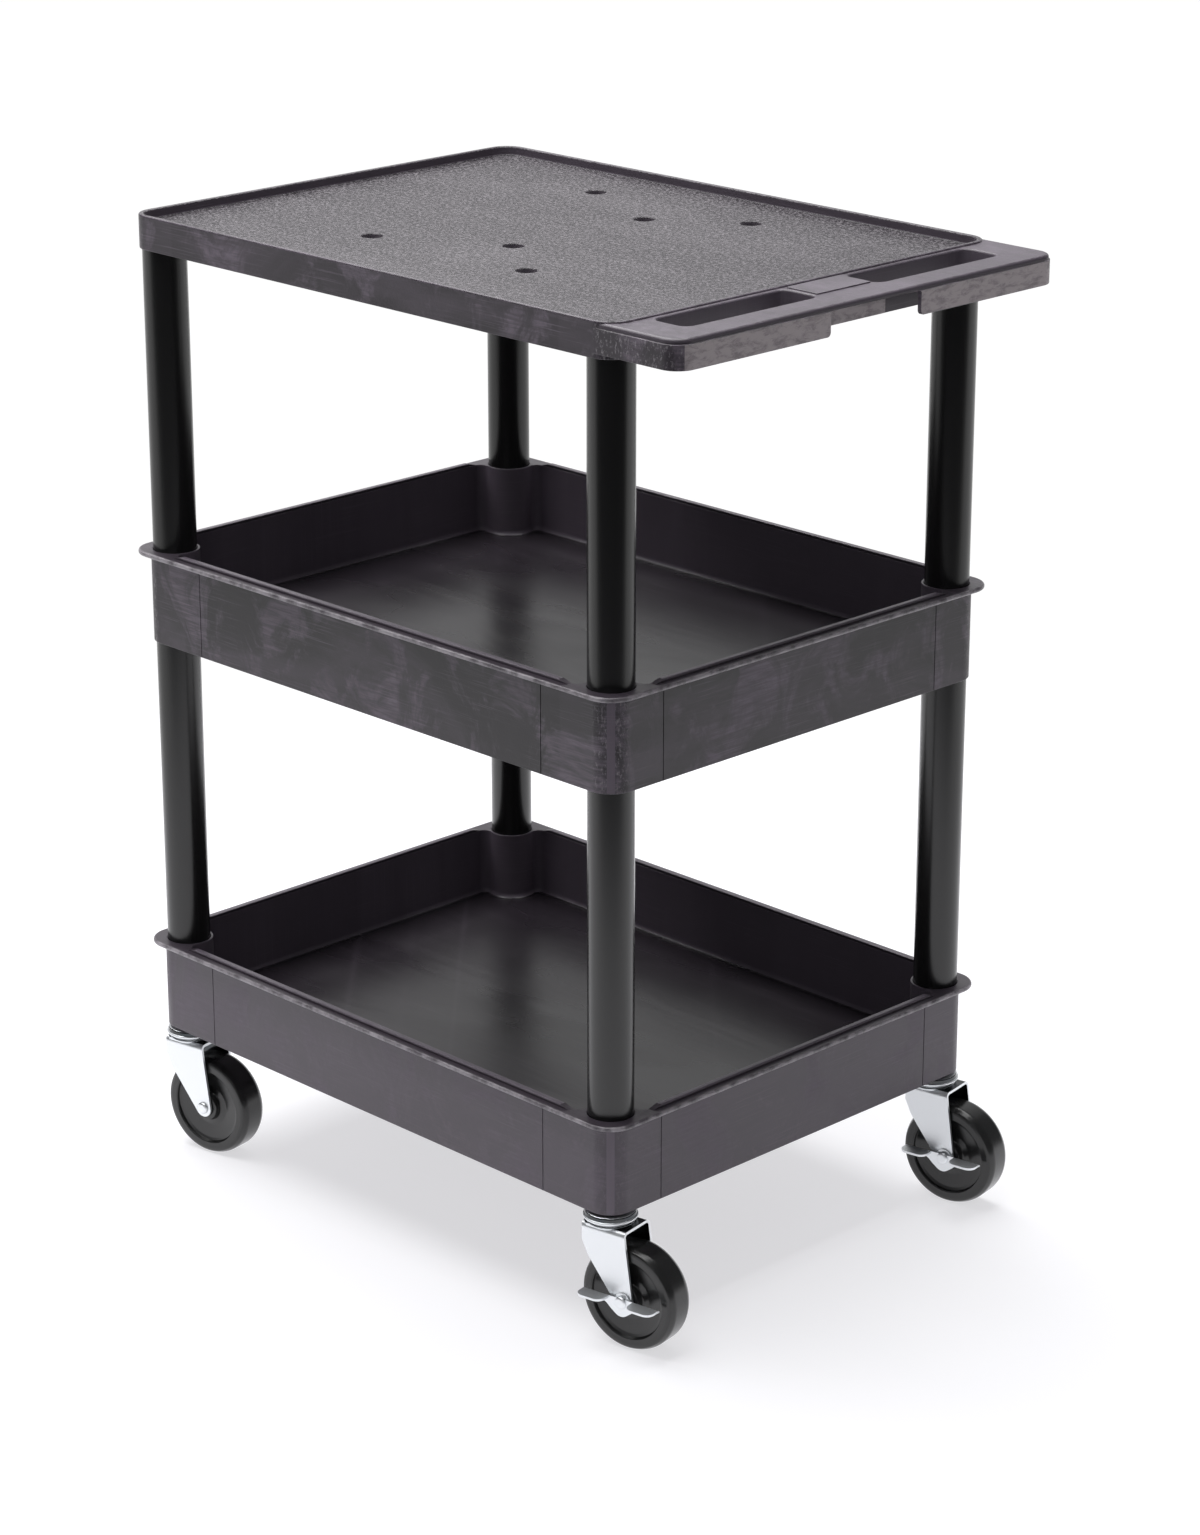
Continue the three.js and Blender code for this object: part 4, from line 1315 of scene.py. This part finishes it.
def area_light(name, place, aim, size, radiance):
    """A soft light of a given radiance, which the camera doesn't see."""
    data = bpy.data.lights.new(name, "AREA")
    data.shape = "RECTANGLE"
    data.size, data.size_y = size
    data.energy = radiance * size[0] * size[1] * math.pi
    made = bpy.data.objects.new(name, data)
    made.location = place
    made.rotation_euler = (Vector(aim) - Vector(place)).to_track_quat("-Z", "Y").to_euler()
    made.visible_camera = False
    bpy.context.scene.collection.objects.link(made)


def floor_material():
    """Pale floor near the cart; further off it is white to the eye and dark to reflections."""
    stage = bpy.context.scene.cart_stage
    material = bpy.data.materials.new("pale_floor")
    material.use_nodes = True
    tree = material.node_tree
    tree.nodes.clear()
    place = tree.nodes.new("ShaderNodeTexCoord").outputs["Object"]
    reach = add(tree, "ShaderNodeVectorMath", {0: place}, operation="LENGTH").outputs["Value"]
    heading = math.radians(stage.heading)
    front = add(tree, "ShaderNodeVectorMath", {0: place, 1: (-math.cos(heading),
                -math.sin(heading), 0)}, operation="DOT_PRODUCT").outputs["Value"]
    seen = tree.nodes.new("ShaderNodeLightPath").outputs["Is Camera Ray"]
    mirrored = tree.nodes.new("ShaderNodeLightPath").outputs["Is Glossy Ray"]
    plain = add(tree, "ShaderNodeBsdfDiffuse", {"Color": (*stage.floor, 1)})
    tinted = [c * 0.49 for c in stage.floor]
    soft = add(tree, "ShaderNodeBsdfDiffuse", {"Color": (*tinted, 1)})
    level = maths(tree, "MULTIPLY_ADD", mirrored, 0.32, 0.64)
    glow = add(tree, "ShaderNodeEmission", {"Color": (0.98, 0.975, 1, 1), "Strength": level})
    lifted = add(tree, "ShaderNodeAddShader", {0: soft.outputs[0], 1: glow.outputs[0]})
    near = add(tree, "ShaderNodeMixShader", {0: maths(tree, "MAXIMUM", seen, mirrored),
                                             1: plain.outputs[0], 2: lifted.outputs[0]})
    white = add(tree, "ShaderNodeEmission", {"Color": (1, 1, 1, 1), "Strength": WHITE})
    dark = add(tree, "ShaderNodeBsdfDiffuse", {"Color": (0.05, 0.05, 0.055, 1)})
    shaded = add(tree, "ShaderNodeMixShader", {0: ranged(tree, front, 0.8, 1.5),
                                               1: white.outputs[0], 2: dark.outputs[0]})
    far = add(tree, "ShaderNodeMixShader", {0: seen, 1: shaded.outputs[0], 2: white.outputs[0]})
    blend = ranged(tree, reach, 1.1, 1.8)
    whole = add(tree, "ShaderNodeMixShader", {0: blend, 1: near.outputs[0], 2: far.outputs[0]})
    output = tree.nodes.new("ShaderNodeOutputMaterial")
    tree.links.new(whole.outputs[0], output.inputs["Surface"])
    return material


class CART_OT_stage(bpy.types.Operator):
    """Set the camera, floor and soft studio lights"""

    bl_idname = "cart.stage"
    bl_label = "Stage"

    def execute(self, context):
        scene = context.scene
        stage = scene.cart_stage
        camera = bpy.data.objects.new("camera", bpy.data.cameras.new("camera"))
        heading, pitch = math.radians(stage.heading), math.radians(stage.pitch)
        ahead = Vector((math.cos(heading) * math.cos(pitch),
                        math.sin(heading) * math.cos(pitch), -math.sin(pitch)))
        camera.location = stage.eye
        camera.rotation_euler = ahead.to_track_quat("-Z", "Y").to_euler()
        camera.data.lens = stage.lens
        camera.data.sensor_width = 36
        scene.collection.objects.link(camera)
        scene.camera = camera

        bm = bmesh.new()
        bmesh.ops.create_circle(bm, cap_ends=True, segments=64, radius=14)
        floor = as_object(bm, "floor")
        floor.data.materials.append(floor_material())

        away = Vector((ahead.x, ahead.y, 0)).normalized()
        across = Vector((away.y, -away.x, 0))
        area_light("backdrop", away * 3.2 + Vector((0, 0, 1.5)), (0, 0, 0.7), (6.5, 3.0), 0.62)
        area_light("overhead", away * 0.5 - across * 0.5 + Vector((0, 0, 3.0)), (0, 0, 0.3),
                   (3.2, 3.2), 5.5)
        area_light("front", -away * 3.4 - across * 1.0 + Vector((0, 0, 2.6)), (0, 0, 0.5),
                   (2.0, 1.2), 1.0)

        world = bpy.data.worlds.new("studio")
        scene.world = world
        world.use_nodes = True
        tree = world.node_tree
        tree.nodes.clear()
        seen = tree.nodes.new("ShaderNodeLightPath").outputs["Is Camera Ray"]
        dim = add(tree, "ShaderNodeBackground", {"Color": (0.95, 0.96, 1, 1), "Strength": 0.16})
        white = add(tree, "ShaderNodeBackground", {"Color": (1, 1, 1, 1), "Strength": WHITE})
        both = add(tree, "ShaderNodeMixShader", {0: seen, 1: dim.outputs[0], 2: white.outputs[0]})
        output = tree.nodes.new("ShaderNodeOutputWorld")
        tree.links.new(both.outputs[0], output.inputs["Surface"])
        scene.view_settings.view_transform = "Standard"
        return {"FINISHED"}


# ------------------------------------------------------------------ add-on


class CART_PT_panel(bpy.types.Panel):
    """Lists the cart's operators and settings"""

    bl_idname = "CART_PT_panel"
    bl_label = "Rolling Utility Cart"
    bl_space_type = "VIEW_3D"
    bl_region_type = "UI"
    bl_category = "Cart"

    def draw(self, context):
        for operator in OPERATORS:
            self.layout.operator(operator.bl_idname)
        for name, settings in SETTINGS:
            box = self.layout.box()
            for field in settings.__annotations__:
                box.prop(getattr(context.scene, name), field)


OPERATORS = (CART_OT_stage, CART_OT_tub_shelves, CART_OT_top_shelf, CART_OT_legs,
             CART_OT_casters, CART_OT_brakes)
SETTINGS = (("cart_shelves", CartShelfSettings), ("cart_metal", CartMetalSettings),
            ("cart_finish", CartFinishSettings), ("cart_stage", CartStageSettings))


def register():
    for name, settings in SETTINGS:
        bpy.utils.register_class(settings)
        setattr(bpy.types.Scene, name, PointerProperty(type=settings))
    for made in (*OPERATORS, CART_PT_panel):
        bpy.utils.register_class(made)


def unregister():
    for made in (CART_PT_panel, *reversed(OPERATORS)):
        bpy.utils.unregister_class(made)
    for name, settings in reversed(SETTINGS):
        delattr(bpy.types.Scene, name)
        bpy.utils.unregister_class(settings)


def main():
    register()
    for operator in OPERATORS:
        getattr(bpy.ops.cart, operator.bl_idname.split(".")[1])()
    bpy.context.view_layer.update()


if __name__ == "__main__":
    main()
